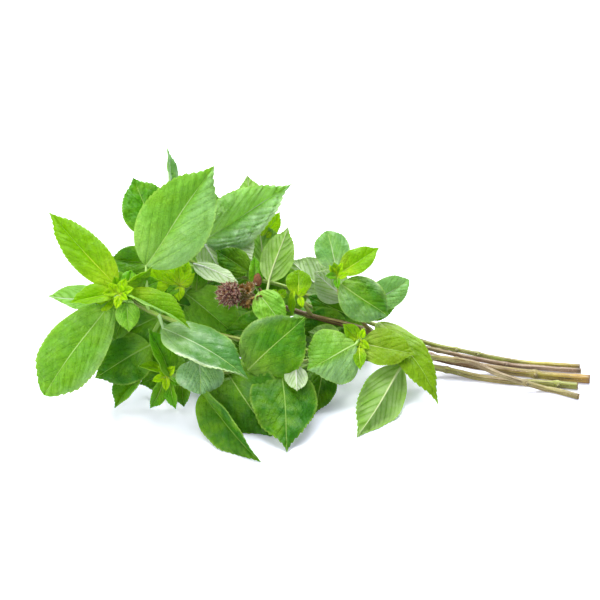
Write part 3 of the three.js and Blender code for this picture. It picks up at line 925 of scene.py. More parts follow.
class Tone(Enum):
    """The look of a leaf, mostly by its age and for some tones by painted light and shade: the greens of
    blade and midrib, its wax, the light it lets through.
    """

    TIP = ("#C8F414", "#E6F850", 0.1, 0.58)
    YOUNG = ("#86BE00", "#D8F230", 0.15, 0.52)
    OLIVE = ("#8AB010", "#CCDC70", 0.2, 0.45)
    LIGHT = ("#86CA40", "#C6EE86", 0.25, 0.42)
    FRESH = ("#6CAA2C", "#BEE87A", 0.25, 0.38)
    BRIGHT = ("#5CAC08", "#B8DC60", 0.25, 0.4)
    MATURE = ("#48900A", "#A8D058", 0.25, 0.36)
    # A darker green, partly the leaf's own and partly painted shade, for leaves that lie in shade.
    DEEP = ("#2A7202", "#8CBC40", 0.15, 0.34)
    # All tones below but PALE are grey-greens that paint the sheen of reflected light into the colour; the
    # paler of them also brighten leaves that lie in shade.
    SHEEN = ("#68A450", "#C6E2A8", 0.6, 0.22)
    FROST_SHEEN = ("#90CC76", "#D6ECBC", 0.6, 0.36)
    RIME_SHEEN = ("#8CBC84", "#B8D8A8", 0.7, 0.3)
    MIST = ("#B2E888", "#E4F4D0", 0.6, 0.55)
    GLOSS = ("#488A34", "#B4D498", 0.7, 0.18)
    PALE = ("#ACD074", "#D8E8A4", 0.1, 0.5)
    HOAR_SHEEN = ("#F0F8F0", "#F8FAF4", 0.8, 0.3)


@dataclass(frozen=True)
class Leaf:
    """One leaf: the stem or shoot it grows on, how far before its tip, the ends of its blade and its form.

    roll turns the blade's upper face from the eye, arch bends its tip back and fold lifts its halves, in
    degrees. quilt and wave scale the puffs between its veins and the waves of its margin. curl turns one
    margin up, in millimetres: the right one, or the left one if below 0; that margin is painted whiter, a
    painted highlight. split is how much greyer and waxier the other half is than the right one, or than the
    left one if below 0; its greyer colour is a painted sheen.
    """

    on: str
    back: float
    base: Place
    tip: Place
    wide: float
    roll: float
    arch: float
    fold: float
    tone: Tone = Tone.BRIGHT
    rise: float = 0.62
    taper: float = 0.95
    quilt: float = 1.0
    wave: float = 1.0
    curl: float = 0.0
    split: float = 0.0


class Blade:
    """The form of one placed leaf: a stalk from its stem, and an arched, folded blade."""

    PLAIN_THICKNESS = 0.7  # of the plain form, whose corners are looked for in the frame
    THICKNESS = 0.3  # of the finished blade
    LOWEST = 0.6  # over the table, for the ends of a blade
    PLAIN_TOOTH = 16  # millimetres a tooth of the plain form takes up
    TOOTH = (1.2, 2.7)  # the least and the most millimetres a tooth of the finished blade takes up
    NARROW = 14  # millimetres across, up to which a blade has few rows
    # Painted sheen on the half that is greyer and waxier.
    FROST_SHEEN = "#BCE6B2"  # of the half that is greyer and waxier
    # Painted highlight on a margin that curls up.
    LIP_HIGHLIGHT = "#DCECD4"  # of a margin that curls up

    def __init__(self, root: Array, base: Array, tip: Array, leaf: Leaf) -> None:
        """Sets up the leaf's directions.

        Args:
            root: Where its stalk starts, in the middle of the stem.
            base: Where its blade starts.
            tip: Where its blade ends.
            leaf: Its form.
        """
        self.root, self.base, self.leaf = root, base, leaf
        self.length = float(np.linalg.norm(tip - base))
        self.along = unit(tip - base)
        to_eye = EYE.point - (base + tip) / 2
        face = unit(to_eye - self.along * np.dot(to_eye, self.along))
        self.face = turned(face, self.along, leaf.roll)
        self.side = np.cross(self.face, self.along)
        self.arch = math.radians(leaf.arch)
        self.bend = self.length / (2 * math.sin(self.arch / 2))

    def on_blade(self, u: Array, reach: Array, lift: Array | float = 0.0) -> tuple[Array, Array]:
        """Points of the blade and the direction out of its upper face.

        Args:
            u: Share of the length.
            reach: Millimetres from the midrib, below 0 on the left.
            lift: Millimetres above the plain form.

        Returns:
            The points, and the direction at each.
        """
        angle = self.arch / 2 - self.arch * np.asarray(u, float)
        fold = math.radians(self.leaf.fold)
        outward = moved(np.zeros(3), (-self.along, np.sin(angle)), (self.face, np.cos(angle)))
        points = moved(
            self.base,
            (self.along, self.bend * (math.sin(self.arch / 2) - np.sin(angle))),
            (self.face, self.bend * (np.cos(angle) - math.cos(self.arch / 2))),
            (self.side, reach * math.cos(fold)),
            (outward, np.abs(reach) * math.sin(fold) + lift),
        )
        return points, outward

    def half_width(self, u: Array) -> Array:
        """Half of the blade's width at a share of its length."""
        leaf = self.leaf
        widest = leaf.rise / (leaf.rise + leaf.taper)
        u = np.clip(u, 0, 1)
        return leaf.wide / 2 * (u / widest) ** leaf.rise * ((1 - u) / (1 - widest)) ** leaf.taper

    def corners(self) -> Array:
        """The corners of the plain form's blade."""
        sections = 2 * max(1, math.floor(self.length / self.PLAIN_TOOTH + 0.5)) + 1
        corners = []
        for j in range(sections):
            tooth = j % 2 == 1
            margin = j / sections + (0.35 / sections if tooth else 0)
            reach = max(float(self.half_width(margin)), 0.5) * (1.04 if tooth else 0.95)
            for u, y in ((j / sections, 0.0), (margin, reach), (margin, -reach)):
                point, outward = self.on_blade(u, y)
                point[2] = max(point[2], self.LOWEST)
                half = outward * self.PLAIN_THICKNESS / 2
                corners += [point + half, point - half]
        return np.array(corners)

    def build(self, number: int) -> tuple[Thing, Thing]:
        """Makes the blade, still a sheet, and its stalk and midrib.

        Args:
            number: The leaf's number, which its small differences come from.

        Returns:
            The sheet, and the closed rod.
        """
        leaf, length = self.leaf, self.length
        phases = np.random.default_rng(number).uniform(0, 2 * math.pi, 8)
        teeth = max(7, round(length / min(max(length / 20, self.TOOTH[0]), self.TOOTH[1])))
        columns = 3 * teeth
        rows = 6 if leaf.wide <= self.NARROW else 14 if leaf.on else 9
        # u is the share of the length, v the share of the half width, below 0 on the left.
        u = np.linspace(0, 1, columns + 1)[:, None]
        steps = np.linspace(0, 1, rows + 1) ** 0.92
        steps[1] *= 0.6
        v = np.concatenate([-steps[:0:-1], steps])[None]
        inset = np.abs(v)
        drawn_out = 1 - (0.4 if leaf.taper > 0.7 else 0.2) * ramp(0.76, 0.95, u)
        width = np.maximum(self.half_width(u) * 0.99 * drawn_out, 0.12)

        # Teeth point to the tip, and fade out towards the blade's foot and its drawn-out end.
        rise = np.array([0.0, 0.6, 1.0])[np.arange(columns + 1) % 3][:, None]
        strength = ramp(0.12, 0.3, u) * (1 - ramp(0.9, 1.0, u)) * (0.15 + 0.85 * ramp(7, 17, length))
        cut = strength * 0.13 * length / teeth * (rise - 0.55) * inset**6
        along = np.clip(u + strength * 0.3 / teeth * rise * inset**6, 0, 1)
        sway = 0.012 * length * np.sin(math.pi * u + phases[0]) * np.sin(math.pi * u)
        reach = v * width + np.sign(v) * cut + sway * (1 - 0.5 * inset)

        # Side veins leave the midrib at intervals and sweep forward to the margin.
        pitch = 2.6 + 0.08 * length
        y = inset * width
        sweep = 1.35 * y + 1.1 * y**2 / max(leaf.wide / 2, 1)
        phase = (u * length - sweep) / pitch + np.where(v < 0, 0.25, 0.0)
        phase = phase + 0.16 * np.sin(1.9 * phase + phases[6]) + 0.08 * np.sin(0.5 * y + phases[1])

        rolled = abs(leaf.curl) * (v * leaf.curl > 0) * ramp(0.35, 1.0, inset) ** 2
        rolled = rolled * np.sin(math.pi * u**1.3)
        lift = self._relief(u, v, width, phase, phases) + rolled
        points, _ = self.on_blade(along, reach - np.sign(v) * 0.55 * rolled, lift)
        points[..., 2] = np.maximum(points[..., 2], 0.35 + 0.15 * (1 + np.sin(5 * phase)))

        blade_hex, rib_hex, wax, clear = leaf.tone.value
        foot = (0.75 if clear > 0.5 else 0.5) * (1 - ramp(0.0, 0.45, u))
        # The greyer half and a curled-up margin are painted paler, a painted sheen and a painted highlight;
        # both also get more wax.
        frost_sheen = abs(leaf.split) * (v * leaf.split < 0) * ramp(0.02, 0.3, inset)
        lip_highlight = min(0.7, wax) * rolled / max(abs(leaf.curl), 0.1)
        tone = rgb(blade_hex) * (1 + 0.1 * math.sin(phases[6]))
        for share, colour in ((foot, rgb(rib_hex)), (frost_sheen, rgb(self.FROST_SHEEN)), (lip_highlight, rgb(self.LIP_HIGHLIGHT))):
            tone = blend(tone, colour, share[..., None])
        lanes = {
            "lie": packed(along * length, v * width, 7.0 * number),
            "vein": packed(phase + 8, inset, 0.45 * pitch),
            "tone": tone,
            "skin": packed(wax + 0.5 * frost_sheen + lip_highlight, clear, u),
        }
        blank = BLANKS.sheet(columns, 2 * rows)
        sheet = shaped("blade", blank, points, lanes, PALETTE(UPPER, UNDER, RIB))
        return sheet, self._rib(rgb(rib_hex), sway[:, 0], u[:, 0])

    def _relief(self, u: Array, v: Array, width: Array, phase: Array, phases: Array) -> Array:
        """How high the tissue stands above the plain form.

        Args:
            u: Share of the length.
            v: Share of the half width, below 0 on the left.
            width: Half of the width.
            phase: Place between the side veins, which are at whole numbers.
            phases: The leaf's own shifts of its waves.

        Returns:
            Millimetres, for each u and v.
        """
        leaf, inset = self.leaf, np.abs(v)
        x, y = u * self.length, v * width
        # Tissue puffs up between the side veins, and the midrib lies in a groove.
        size = min(leaf.wide, 34) / 34
        window = ramp(0.02, 0.25, inset) * (1 - ramp(0.75, 1.0, inset)) * ramp(0.0, 0.12, u)
        puff = np.abs(np.sin(math.pi * phase)) ** 0.8
        lift = leaf.quilt * (0.1 + 0.5 * size) * (puff - 0.5) * window
        lift = lift - 0.3 * np.exp(-((y / 0.8) ** 2)) * (1 - u)
        bulge = 0.15 + 0.06 * math.sin(phases[7])
        lift = lift + bulge * width * np.sin(math.pi * inset) * (1 if leaf.fold >= 0 else 0.5)
        rumple = np.sin(0.62 * x + 1.4 * np.sin(0.45 * y + phases[2]) + phases[0])
        rumple = rumple * np.sin(0.55 * y + phases[3])
        rumple = rumple + 0.6 * np.sin(1.15 * x - 0.9 * y + phases[4]) * np.sin(0.8 * y + phases[5])
        lift = lift + 0.34 * size * leaf.quilt * rumple * window
        # The margins wave, each in its own way, and the whole blade drifts a little.
        swing = np.sin(2 * math.pi * 1.6 * u + np.where(v < 0, phases[1], phases[2]))
        swing = swing + 0.6 * np.sin(2 * math.pi * 3.4 * u + np.where(v < 0, phases[3], phases[4]))
        lift = lift + leaf.wave * 0.035 * leaf.wide * swing * inset**2.5 * np.sin(math.pi * u)
        drift = np.sin(2.2 * math.pi * u + phases[5] + 1.3 * v)
        return lift + 0.012 * self.length * drift * np.sin(math.pi * u) * (0.3 + inset)

    def _rib(self, colour: Array, sway: Array, u: Array) -> Thing:
        """The leaf stalk, going on as the midrib on the under side.

        Args:
            colour: Its linear colour.
            sway: Millimetres that the midrib lies to one side, for each u.
            u: Share of the length.

        Returns:
            The closed rod.
        """
        stalk = float(np.linalg.norm(self.base - self.root))
        bow = (self.root + self.base) / 2 + np.array([0, 0, 0.06 * stalk])
        sag = np.array([0, 0, 0.015 * stalk])
        way = [self.root, (self.root + bow) / 2 + sag, bow, (bow + self.base) / 2 + sag]
        shares = np.linspace(0, 0.94, 15)
        radii = np.interp(shares, [0, 0.15, 0.94], [0.5, 0.42, 0.1]) * min(1.15, 0.55 + self.leaf.wide / 40)
        middle, outward = self.on_blade(shares, np.interp(shares, u, sway))
        centres = np.concatenate([way, moved(middle, (-outward, 0.72 * radii))])
        first = min(0.85, 0.55 + 0.012 * self.leaf.wide)
        radii = np.concatenate([first * np.array([1.15, 1.0, 0.9, 0.85]), radii])
        centres[:, 2] = np.maximum(centres[:, 2], radii)
        side = self.side + 0.01 * self.face
        return rod("rib", centres, radii, side, PALETTE(UPPER, UNDER, RIB), colour, slot=2)


LEAVES = [
    # The big rosette at the left.
    Leaf("left", 16, (-77, 17, 31), (-43, 67, 26), 36, 4, 12, 6, Tone.LIGHT, quilt=1.1, split=0.4),
    Leaf("left", 8, (-94, -0.5, 36), (-128, -47.5, 44), 31, 8, 26, -5, Tone.FRESH, 0.8, 0.6, quilt=1.3,
         curl=1.5),
    Leaf("left", 4, (-92, 7, 36), (-125.5, 43.8, 30), 19, 8, 14, 8, Tone.YOUNG, quilt=1.4),
    Leaf("left", 5, (-87, 3, 38), (-55, -14.5, 44), 18, -46, 16, 32, Tone.YOUNG, curl=-2.5, split=0.45),
    Leaf("left", 3, (-93, 3, 37), (-115, -1.5, 44), 13, 40, 18, 22, Tone.YOUNG),
    Leaf("left", 3, (-88, 8, 37), (-74, 16.5, 34), 12, 58, 16, 26, Tone.YOUNG),
    Leaf("left", 4, (-86.5, -1.5, 39), (-85.5, -16, 44), 12, 0, 12, 8, Tone.LIGHT),
    Leaf("left", 9, (-93, -4, 34), (-95, -12, 32), 8, 10, 10, 10, Tone.BRIGHT),
    Leaf("left", 1, (-91, 6.5, 37), (-93, 12, 40), 5, 10, 4, 20, Tone.YOUNG),
    Leaf("left", 1, (-88, 4, 38), (-84, 0, 42), 5, -20, 4, 20, Tone.YOUNG),
    Leaf("left", 6, (-98, 1.5, 29), (-126, 2, 22), 14, 150, -30, 15, Tone.MIST),
    Leaf("left", 22, (-68.5, -14, 40), (-26, -39.5, 46), 29, -34, 30, -8, Tone.GLOSS, quilt=0.4, curl=-5.0),
    Leaf("left", 24, (-75, -22.5, 28), (-102.5, -39, 24), 26, 12, 18, -6, Tone.DEEP),
    Leaf("left", 88, (-4, -16, 17), (-37, -15, 12), 24, -10, 16, 4, Tone.MATURE),
    Leaf("left", 112, (20, -20, 10), (4, -16, 8), 13, 175, 4, 8, Tone.PALE),
    # The small star at the front, close to the table, and the leaves round it.
    Leaf("low", 4, (-65, -38, 28), (-76, -14.5, 34), 16, 44, 16, 20, Tone.BRIGHT),
    Leaf("low", 2, (-68, -35.5, 28), (-81, -33, 31), 7, 50, 12, 20, Tone.YOUNG),
    Leaf("low", 3, (-68.5, -40, 28), (-75, -54, 27), 9, -30, 50, 15, Tone.BRIGHT),
    Leaf("low", 3, (-65.5, -40.5, 28), (-62, -54.5, 27), 8, 30, 16, 28, Tone.BRIGHT),
    Leaf("low", 1, (-77, -34, 24), (-92.5, -54, 24), 17, 36, 14, 34, Tone.MATURE),
    Leaf("low", 10, (-59, -40, 21), (-58, -53.5, 22), 10, 20, 10, 20, Tone.MATURE),
    Leaf("low", 18, (-50.5, -29.5, 33), (-50, -47, 40), 24, -8, 52, -6, Tone.RIME_SHEEN, taper=0.6),
    Leaf("low", 24, (-49, -46.5, 31), (-19.5, -81, 40), 23, 36, 14, 34, Tone.DEEP),
    Leaf("low", 30, (-39, -32.5, 24), (-14, -68, 38), 36, 4, 16, -4, Tone.MATURE, taper=0.8, wave=1.6),
    Leaf("low", 58, (-9.5, -34, 27), (-6.5, -76, 50), 34, -8, 22, -8, Tone.DEEP, taper=1.15, wave=1.5),
    Leaf("low", 44, (-26, -35, 33), (2.5, -8.5, 31), 34, 2, 24, -6, Tone.MATURE, wave=1.8, curl=2.5),
    Leaf("low", 66, (-2, -32.5, 29), (-1.5, -45.5, 40), 12, 172, -10, 12, Tone.HOAR_SHEEN),
    # The flowering stem: the rosette at the right, the hanging shoot and the leaves by the flower head.
    Leaf("right", 3, (18.5, 14.5, 10), (13.5, 34.5, 4), 18, 4, 26, 5, Tone.SHEEN, taper=0.6),
    Leaf("right", 2, (20.5, 13.5, 11), (39.5, 26, 8), 14, -20, 14, 14, Tone.YOUNG),
    Leaf("right", 4, (20.5, 8, 12), (44, -8, 15), 23, -4, 24, -6, Tone.MATURE, taper=0.75, quilt=2.0,
         curl=1.2, split=0.3),
    Leaf("right", 8, (33, -3, 2), (54.5, 10, -2), 16, 0, 16, 10, Tone.FROST_SHEEN, taper=0.7),
    Leaf("right", 10, (32, -7, 2), (48, -3, 0), 10, 10, 12, 10, Tone.MATURE),
    Leaf("right", 1, (18, 12.5, 11), (17, 19, 15), 6, 10, 4, 20, Tone.YOUNG),
    Leaf("hanging", 1, (28, -22, 13), (3.5, -35, 22), 31, 6, 26, -16, Tone.LIGHT, split=-0.55),
    Leaf("hanging", 1, (31, -22, 13), (57.5, -27, 16), 20, -20, 12, 6, Tone.OLIVE),
    Leaf("hanging", 1, (28.5, -19.5, 14), (21.5, -12, 17), 9, 20, 6, 22, Tone.YOUNG),
    Leaf("hanging", 1, (29.5, -24, 14), (30, -35, 17), 7, 0, 10, 18, Tone.YOUNG),
    Leaf("flowering", 74, (39, -11, -2), (69, -52, 20), 19, -30, 66, -6, Tone.OLIVE),
    Leaf("flowering", 82, (51, -32.5, 12), (28.5, -68.5, 40), 23, 170, -16, 8, Tone.PALE, 0.75),
    Leaf("inner", 1, (-1, 2.5, 13), (-0.5, 15, 11), 13, 0, 12, 6, Tone.YOUNG, taper=0.6),
    Leaf("inner", 2, (-3, 5, 12), (-3.5, -8, 13), 9, 66, 8, 10, Tone.YOUNG),
    Leaf("flowering", 5, (-15.5, 9.5, 9), (-6, 36.5, 6), 17, 168, -10, 8, Tone.PALE),
    Leaf("flowering", 4, (-21, 3.5, 17), (-7.5, -13.5, 19), 16, 0, 16, 8, Tone.LIGHT, quilt=2.0),
    Leaf("flowering", 4, (-22, 6, 7), (-23, 22, 8), 8, 20, 8, 14, Tone.BRIGHT),
    # The small bright tuft behind the big rosette.
    Leaf("tuft", 2, (-65, 8, 17), (-78, 13, 18), 15, 0, 10, 8, Tone.TIP),
    Leaf("tuft", 2, (-61, 8, 17), (-64, 20, 14), 12, 0, 8, 12, Tone.TIP),
    Leaf("tuft", 1, (-60, 7.5, 17), (-56, 20, 15), 9, -10, 8, 16, Tone.TIP),
    Leaf("tuft", 1, (-59, 7, 17), (-53.5, 12.5, 18), 6, 0, 4, 16, Tone.TIP),
    Leaf("tuft", 4, (-57.5, 3.5, 19), (-28.5, -20, 25), 26, -6, 20, 4, Tone.FRESH, quilt=1.4),
    Leaf("tuft", 10, (-52, 5, 12), (-51, 18, 10), 12, 38, 10, 10, Tone.BRIGHT),
    # The leaves that stand up at the back left.
    Leaf("upper", 3, (-71, 32.5, 17), (-83.5, 61, 12), 26, 8, 14, 8, Tone.MATURE, quilt=1.6),
    Leaf("upper", 2, (-66, 40, 14), (-66.5, 76.5, 6), 17, 66, 10, 20, Tone.SHEEN),
    Leaf("upper", 14, (-75, 18.5, 16), (-95, 20.5, 14), 16, 0, 12, 8, Tone.MATURE),
    Leaf("upper", 26, (-53, 18, 13), (-31, 9, 19), 12, 140, -20, 14, Tone.HOAR_SHEEN),
    Leaf("upper", 50, (-26, 14, 2), (-42, 25, 2), 15, 0, 10, 8, Tone.DEEP),
    # The leaves that stand up at the back.
    Leaf("back", 2, (-49, 29.5, -2), (-4, 58, -8), 29, 10, 14, 8, Tone.MIST, taper=1.15, quilt=2.6,
         curl=-3.5, split=0.95),
    Leaf("back", 9, (-47.5, 27.5, 0), (-38, 12.5, 6), 18, 176, 6, 6, Tone.HOAR_SHEEN),
    Leaf("back", 20, (-38, 31, -4), (-24, 20, 2), 21, 176, 8, 6, Tone.HOAR_SHEEN),
    Leaf("back", 16, (-23.5, 40, -14), (-26.5, 62.5, -22), 16, 172, -6, 8, Tone.PALE),
    Leaf("back", 32, (-19, 31, -12), (-10, 44, -14), 10, 24, 8, 8, Tone.TIP),
    Leaf("back", 44, (-18, 15, -10), (-21, 40, -12), 23, 176, -6, 6, Tone.PALE),
    Leaf("back", 80, (14, 3, -10), (-5, 20, -12), 24, 174, -12, 6, Tone.HOAR_SHEEN),
    Leaf("back", 90, (23, 1, -10), (7, 14, -10), 18, 176, -8, 6, Tone.HOAR_SHEEN),
    Leaf("back", 104, (31, -11.5, -8), (4, 2, -4), 24, 6, 16, 6, Tone.DEEP),
    # The darker leaves inside the bunch, their darker green partly painted shade.
    Leaf("left", 30, (-70, -8, 24), (-94, -19, 20), 22, 6, 16, 5, Tone.DEEP),
    Leaf("left", 7, (-85, 10, 27), (-102, 5, 24), 13, 0, 8, 8, Tone.BRIGHT),
    Leaf("left", 100, (24, -12, -3), (-4, -21, 0), 24, 0, 10, 5, Tone.DEEP),
    Leaf("tuft", 6, (-56, 5, 8), (-70, 1, 8), 12, 0, 8, 6, Tone.DEEP),
    Leaf("back", 30, (-24, 15, -14), (-50, 8, -12), 19, 8, 10, 5, Tone.DEEP),
    Leaf("back", 60, (4, 6, -20), (-35, 0, -15), 28, 4, 12, 4, Tone.DEEP),
    Leaf("low", 40, (-56, -33, 16), (-80, -42, 12), 20, 10, 12, 5, Tone.DEEP),
    Leaf("low", 76, (12, -34, 12), (7, -57, 18), 17, 0, 12, 5, Tone.DEEP),
]


# The smallest leaves, round each growing tip.
TIP_LEAVES = [
    Leaf("flowering", 12, (-10, 2, 11), (-7, 5, 12), 5, 0, 4, 15, Tone.YOUNG),
    Leaf("flowering", 9, (-12, 2.5, 12), (-15, 4.5, 13), 5, 0, 4, 15, Tone.YOUNG),
    Leaf("left", 2, (-91, 3, 39), (-96, 8.5, 42), 5.5, 10, 10, 22, Tone.TIP),
    Leaf("left", 2, (-89.5, 4.5, 39), (-87, 11, 42), 5.5, -10, 10, 22, Tone.TIP),
    Leaf("left", 1, (-89, 3.5, 41), (-83, 6, 44), 5, -20, 10, 24, Tone.TIP),
    Leaf("left", 1, (-90, 2, 41), (-92, -4.5, 44), 5, 10, 10, 24, Tone.TIP),
    Leaf("left", 2, (-91.5, 4, 40), (-99, 3, 42), 5, 20, 10, 24, Tone.TIP),
    Leaf("left", 0.5, (-89.6, 4, 42), (-90, 8, 46), 4, 30, 6, 30, Tone.TIP),
    Leaf("left", 0.5, (-89, 3, 42), (-86, 0, 46), 4, 20, 6, 30, Tone.TIP),
    Leaf("left", 5, (-93.5, 1, 36), (-102, -5.5, 38), 8, 14, 12, 14, Tone.TIP),
    Leaf("left", 6, (-86, 6, 34), (-84.5, 15, 30), 9, 10, 12, 12, Tone.BRIGHT),
    Leaf("left", 7, (-81, 5, 34), (-71, 9.5, 29), 10, 10, 12, 10, Tone.BRIGHT),
    Leaf("right", 1, (18, 12, 12), (14.5, 17.5, 15), 4, 10, 8, 24, Tone.TIP),
    Leaf("right", 1, (18.6, 13, 12), (21.5, 19, 15), 4, -10, 8, 24, Tone.TIP),
    Leaf("right", 1, (18, 12, 13), (12.5, 12, 16), 4, 10, 8, 24, Tone.BRIGHT),
    Leaf("right", 1, (19, 11.5, 13), (24.5, 13.5, 16), 4, 0, 8, 24, Tone.TIP),
    Leaf("right", 1, (18.5, 11, 13), (19, 5.5, 16), 4, 10, 8, 24, Tone.BRIGHT),
    Leaf("low", 1, (-67, -37.5, 29), (-71, -33, 33), 5, 10, 8, 24, Tone.TIP),
    Leaf("low", 1, (-66, -37, 29), (-62.5, -33, 33), 5, -10, 8, 24, Tone.TIP),
    Leaf("low", 1, (-66.6, -39, 30), (-67, -45.5, 32), 4.5, 10, 8, 24, Tone.TIP),
    Leaf("low", 1, (-68, -38.5, 30), (-74, -40.5, 32), 4.5, 10, 8, 24, Tone.TIP),
    Leaf("low", 1, (-65.5, -39, 30), (-60.5, -42.5, 32), 4.5, 10, 8, 24, Tone.BRIGHT),
    Leaf("tuft", 1, (-60.5, 8, 19), (-69, 13.5, 21), 6.5, 10, 8, 20, Tone.TIP),
    Leaf("tuft", 1, (-60, 9, 19), (-61, 17, 21), 5.5, 0, 8, 20, Tone.TIP),
    Leaf("tuft", 1, (-59.5, 8, 19), (-52.5, 13.5, 21), 5.5, 10, 8, 20, Tone.TIP),
    Leaf("tuft", 1, (-60, 6.5, 20), (-60.5, -0.5, 22), 6, 10, 8, 20, Tone.TIP),
    Leaf("tuft", 1, (-61, 6.5, 20), (-67, 2.5, 22), 5.5, 10, 8, 20, Tone.BRIGHT),
    Leaf("hanging", 1, (29, -20.5, 15), (24, -23.5, 18), 4.5, 10, 8, 24, Tone.TIP),
    Leaf("hanging", 1, (30.5, -20.5, 15), (35, -24.5, 18), 4.5, 10, 8, 24, Tone.TIP),
    Leaf("hanging", 1, (30.2, -19, 15), (32, -14, 18), 4, 10, 8, 24, Tone.TIP),
    Leaf("inner", 1, (-0.5, 2.5, 14), (3.5, 6.5, 16), 4, 10, 8, 24, Tone.TIP),
    Leaf("inner", 1, (0, 1.5, 14), (1.5, -4, 16), 4, 10, 8, 24, Tone.TIP),
    Leaf("left", 8, (-97, -2, 31), (-87.5, -6, 28), 8, 10, 12, 10, Tone.MATURE),
    Leaf("left", 9, (-86.5, 1.5, 31), (-76, -1, 28), 8, 10, 12, 10, Tone.MATURE),
    Leaf("left", 24, (-77, -23, 21), (-69, -32, 19), 10, 10, 12, 10, Tone.MATURE),
    Leaf("left", 70, (-35, -19, 13), (-25, -28, 13), 11, 10, 12, 10, Tone.MATURE),
    Leaf("left", 9, (-82, -1, 27), (-93, -3, 25), 10, 10, 12, 10, Tone.DEEP),
    Leaf("left", 12, (-88, -7, 27), (-93, -20, 25), 11, 10, 12, 10, Tone.DEEP),
    Leaf("left", 30, (-69, -5, 23), (-58, -11, 22), 10, 10, 12, 10, Tone.DEEP),
    Leaf("tuft", 8, (-65, 0, 12), (-54, -4, 12), 10, 10, 12, 10, Tone.DEEP),
]


@dataclass(frozen=True)
class FarLeaves:
    """The rule for the leaves of the far side and underneath: one at even steps along a sprig.

    Each is turned a golden turn on from the last, within half a round about the stem.
    """

    pitch: float = 9.5
    first: float = 25
    sweep: float = 175
    lengths: tuple[float, ...] = (50, 42, 34, 26)
    wide: float = 0.55
    petiole: float = 9
    spreads: tuple[float, ...] = (60, 80, 40)
    droop: float = 0.12
    arch: float = 26
    fold: float = 5
    margin: float = 12
    tones: tuple[Tone, ...] = (Tone.MATURE, Tone.DEEP, Tone.BRIGHT, Tone.LIGHT, Tone.DEEP)

    def tried(self, curve: Curve, number: int) -> list[Blade]:
        """The sizes and spreads that this leaf may have."""
        share = 1 - (self.margin + number * self.pitch) / curve.length
        root, along = curve.at(share), curve.tangent(share)
        angle = math.radians(self.first + (number * GOLDEN_TURN) % self.sweep)
        out = np.array([0, math.sin(angle), math.cos(angle)])
        out = unit(out - along * np.dot(out, along))
        tone = self.tones[number % len(self.tones)]
        blades = []
        for length in self.lengths:
            form = Leaf("", 0, (0, 0, 0), (0, 0, 0), length * self.wide, 180, -self.arch, self.fold, tone)
            for opening in map(math.radians, self.spreads):
                way = along * math.cos(opening) + out * math.sin(opening)
                base = root + way * self.petiole
                tip = base + way * length
                tip[2] = max(tip[2] - length * self.droop, Blade.LOWEST)
                blades.append(Blade(root, base, tip, form))
        return blades


# How much nearer to the eye a leaf's tip and its base come, where the plain place would cross a leaf of
# another stem. The frame's node has one of these.
LEANS = [
    (0, 0), (4, 1), (-4, -1), (7, 3), (-7, -3), (10, 5), (-10, -5), (14, 6), (-14, -6), (14, 9), (-14, -9),
    (18, 9), (-18, -9), (22, 12), (-22, -12),
]


class Fitting:
    """Finds which of several forms the node of the frame has, by the corners that they share."""

    NEAR = 0.03  # millimetres

    def __init__(self, node: Thing) -> None:
        """Gathers the node's corners."""
        places = {tuple(round(c, 6) for c in v.co) for v in node.data.vertices}
        self.tree = KDTree(len(places))
        for i, place in enumerate(places):
            self.tree.insert(place, i)
        self.tree.balance()

    def share(self, blade: Blade) -> float:
        """The share of a blade's corners that the node has."""
        corners = blade.corners() * MM
        return sum(self.tree.find(corner)[2] < self.NEAR * MM for corner in corners) / len(corners)

    def best(self, blades: Sequence[Blade], least: float) -> Blade | None:
        """The blade that fits best, or None if none reaches the least share."""
        shares = [self.share(blade) for blade in blades]
        top = int(np.argmax(shares))
        return blades[top] if shares[top] >= least else None


# ---------------------------------------------------------------- stems


@dataclass(frozen=True)
class Shoot:
    """A side shoot: the place across where it leaves its stem, and its path from there."""

    at: float
    path: tuple[Place, ...]
    tones: tuple[str, str] = ("#7FA238", "#9CC44A")
    radii: tuple[float, float] = (1.08, 0.68)

    def curve(self, stem: Curve) -> Curve:
        """Its path in space."""
        return Curve([stem.at(stem.share_at(self.at)), *(EYE.seen(p) for p in self.path)])

    def build(self, curve: Curve) -> Thing:
        """Makes the shoot."""
        shares = np.linspace(0, 1, 24)
        centres = np.array([curve.at(s) for s in shares])
        tones = blend(rgb(self.tones[0]), rgb(self.tones[1]), shares[:, None])
        return rod(
            "shoot", centres, blend(*self.radii, shares), np.array([0.2, 1, 0.1]), PALETTE(GREEN_RIND),
            tones, corners=16, section=square_section,
        )


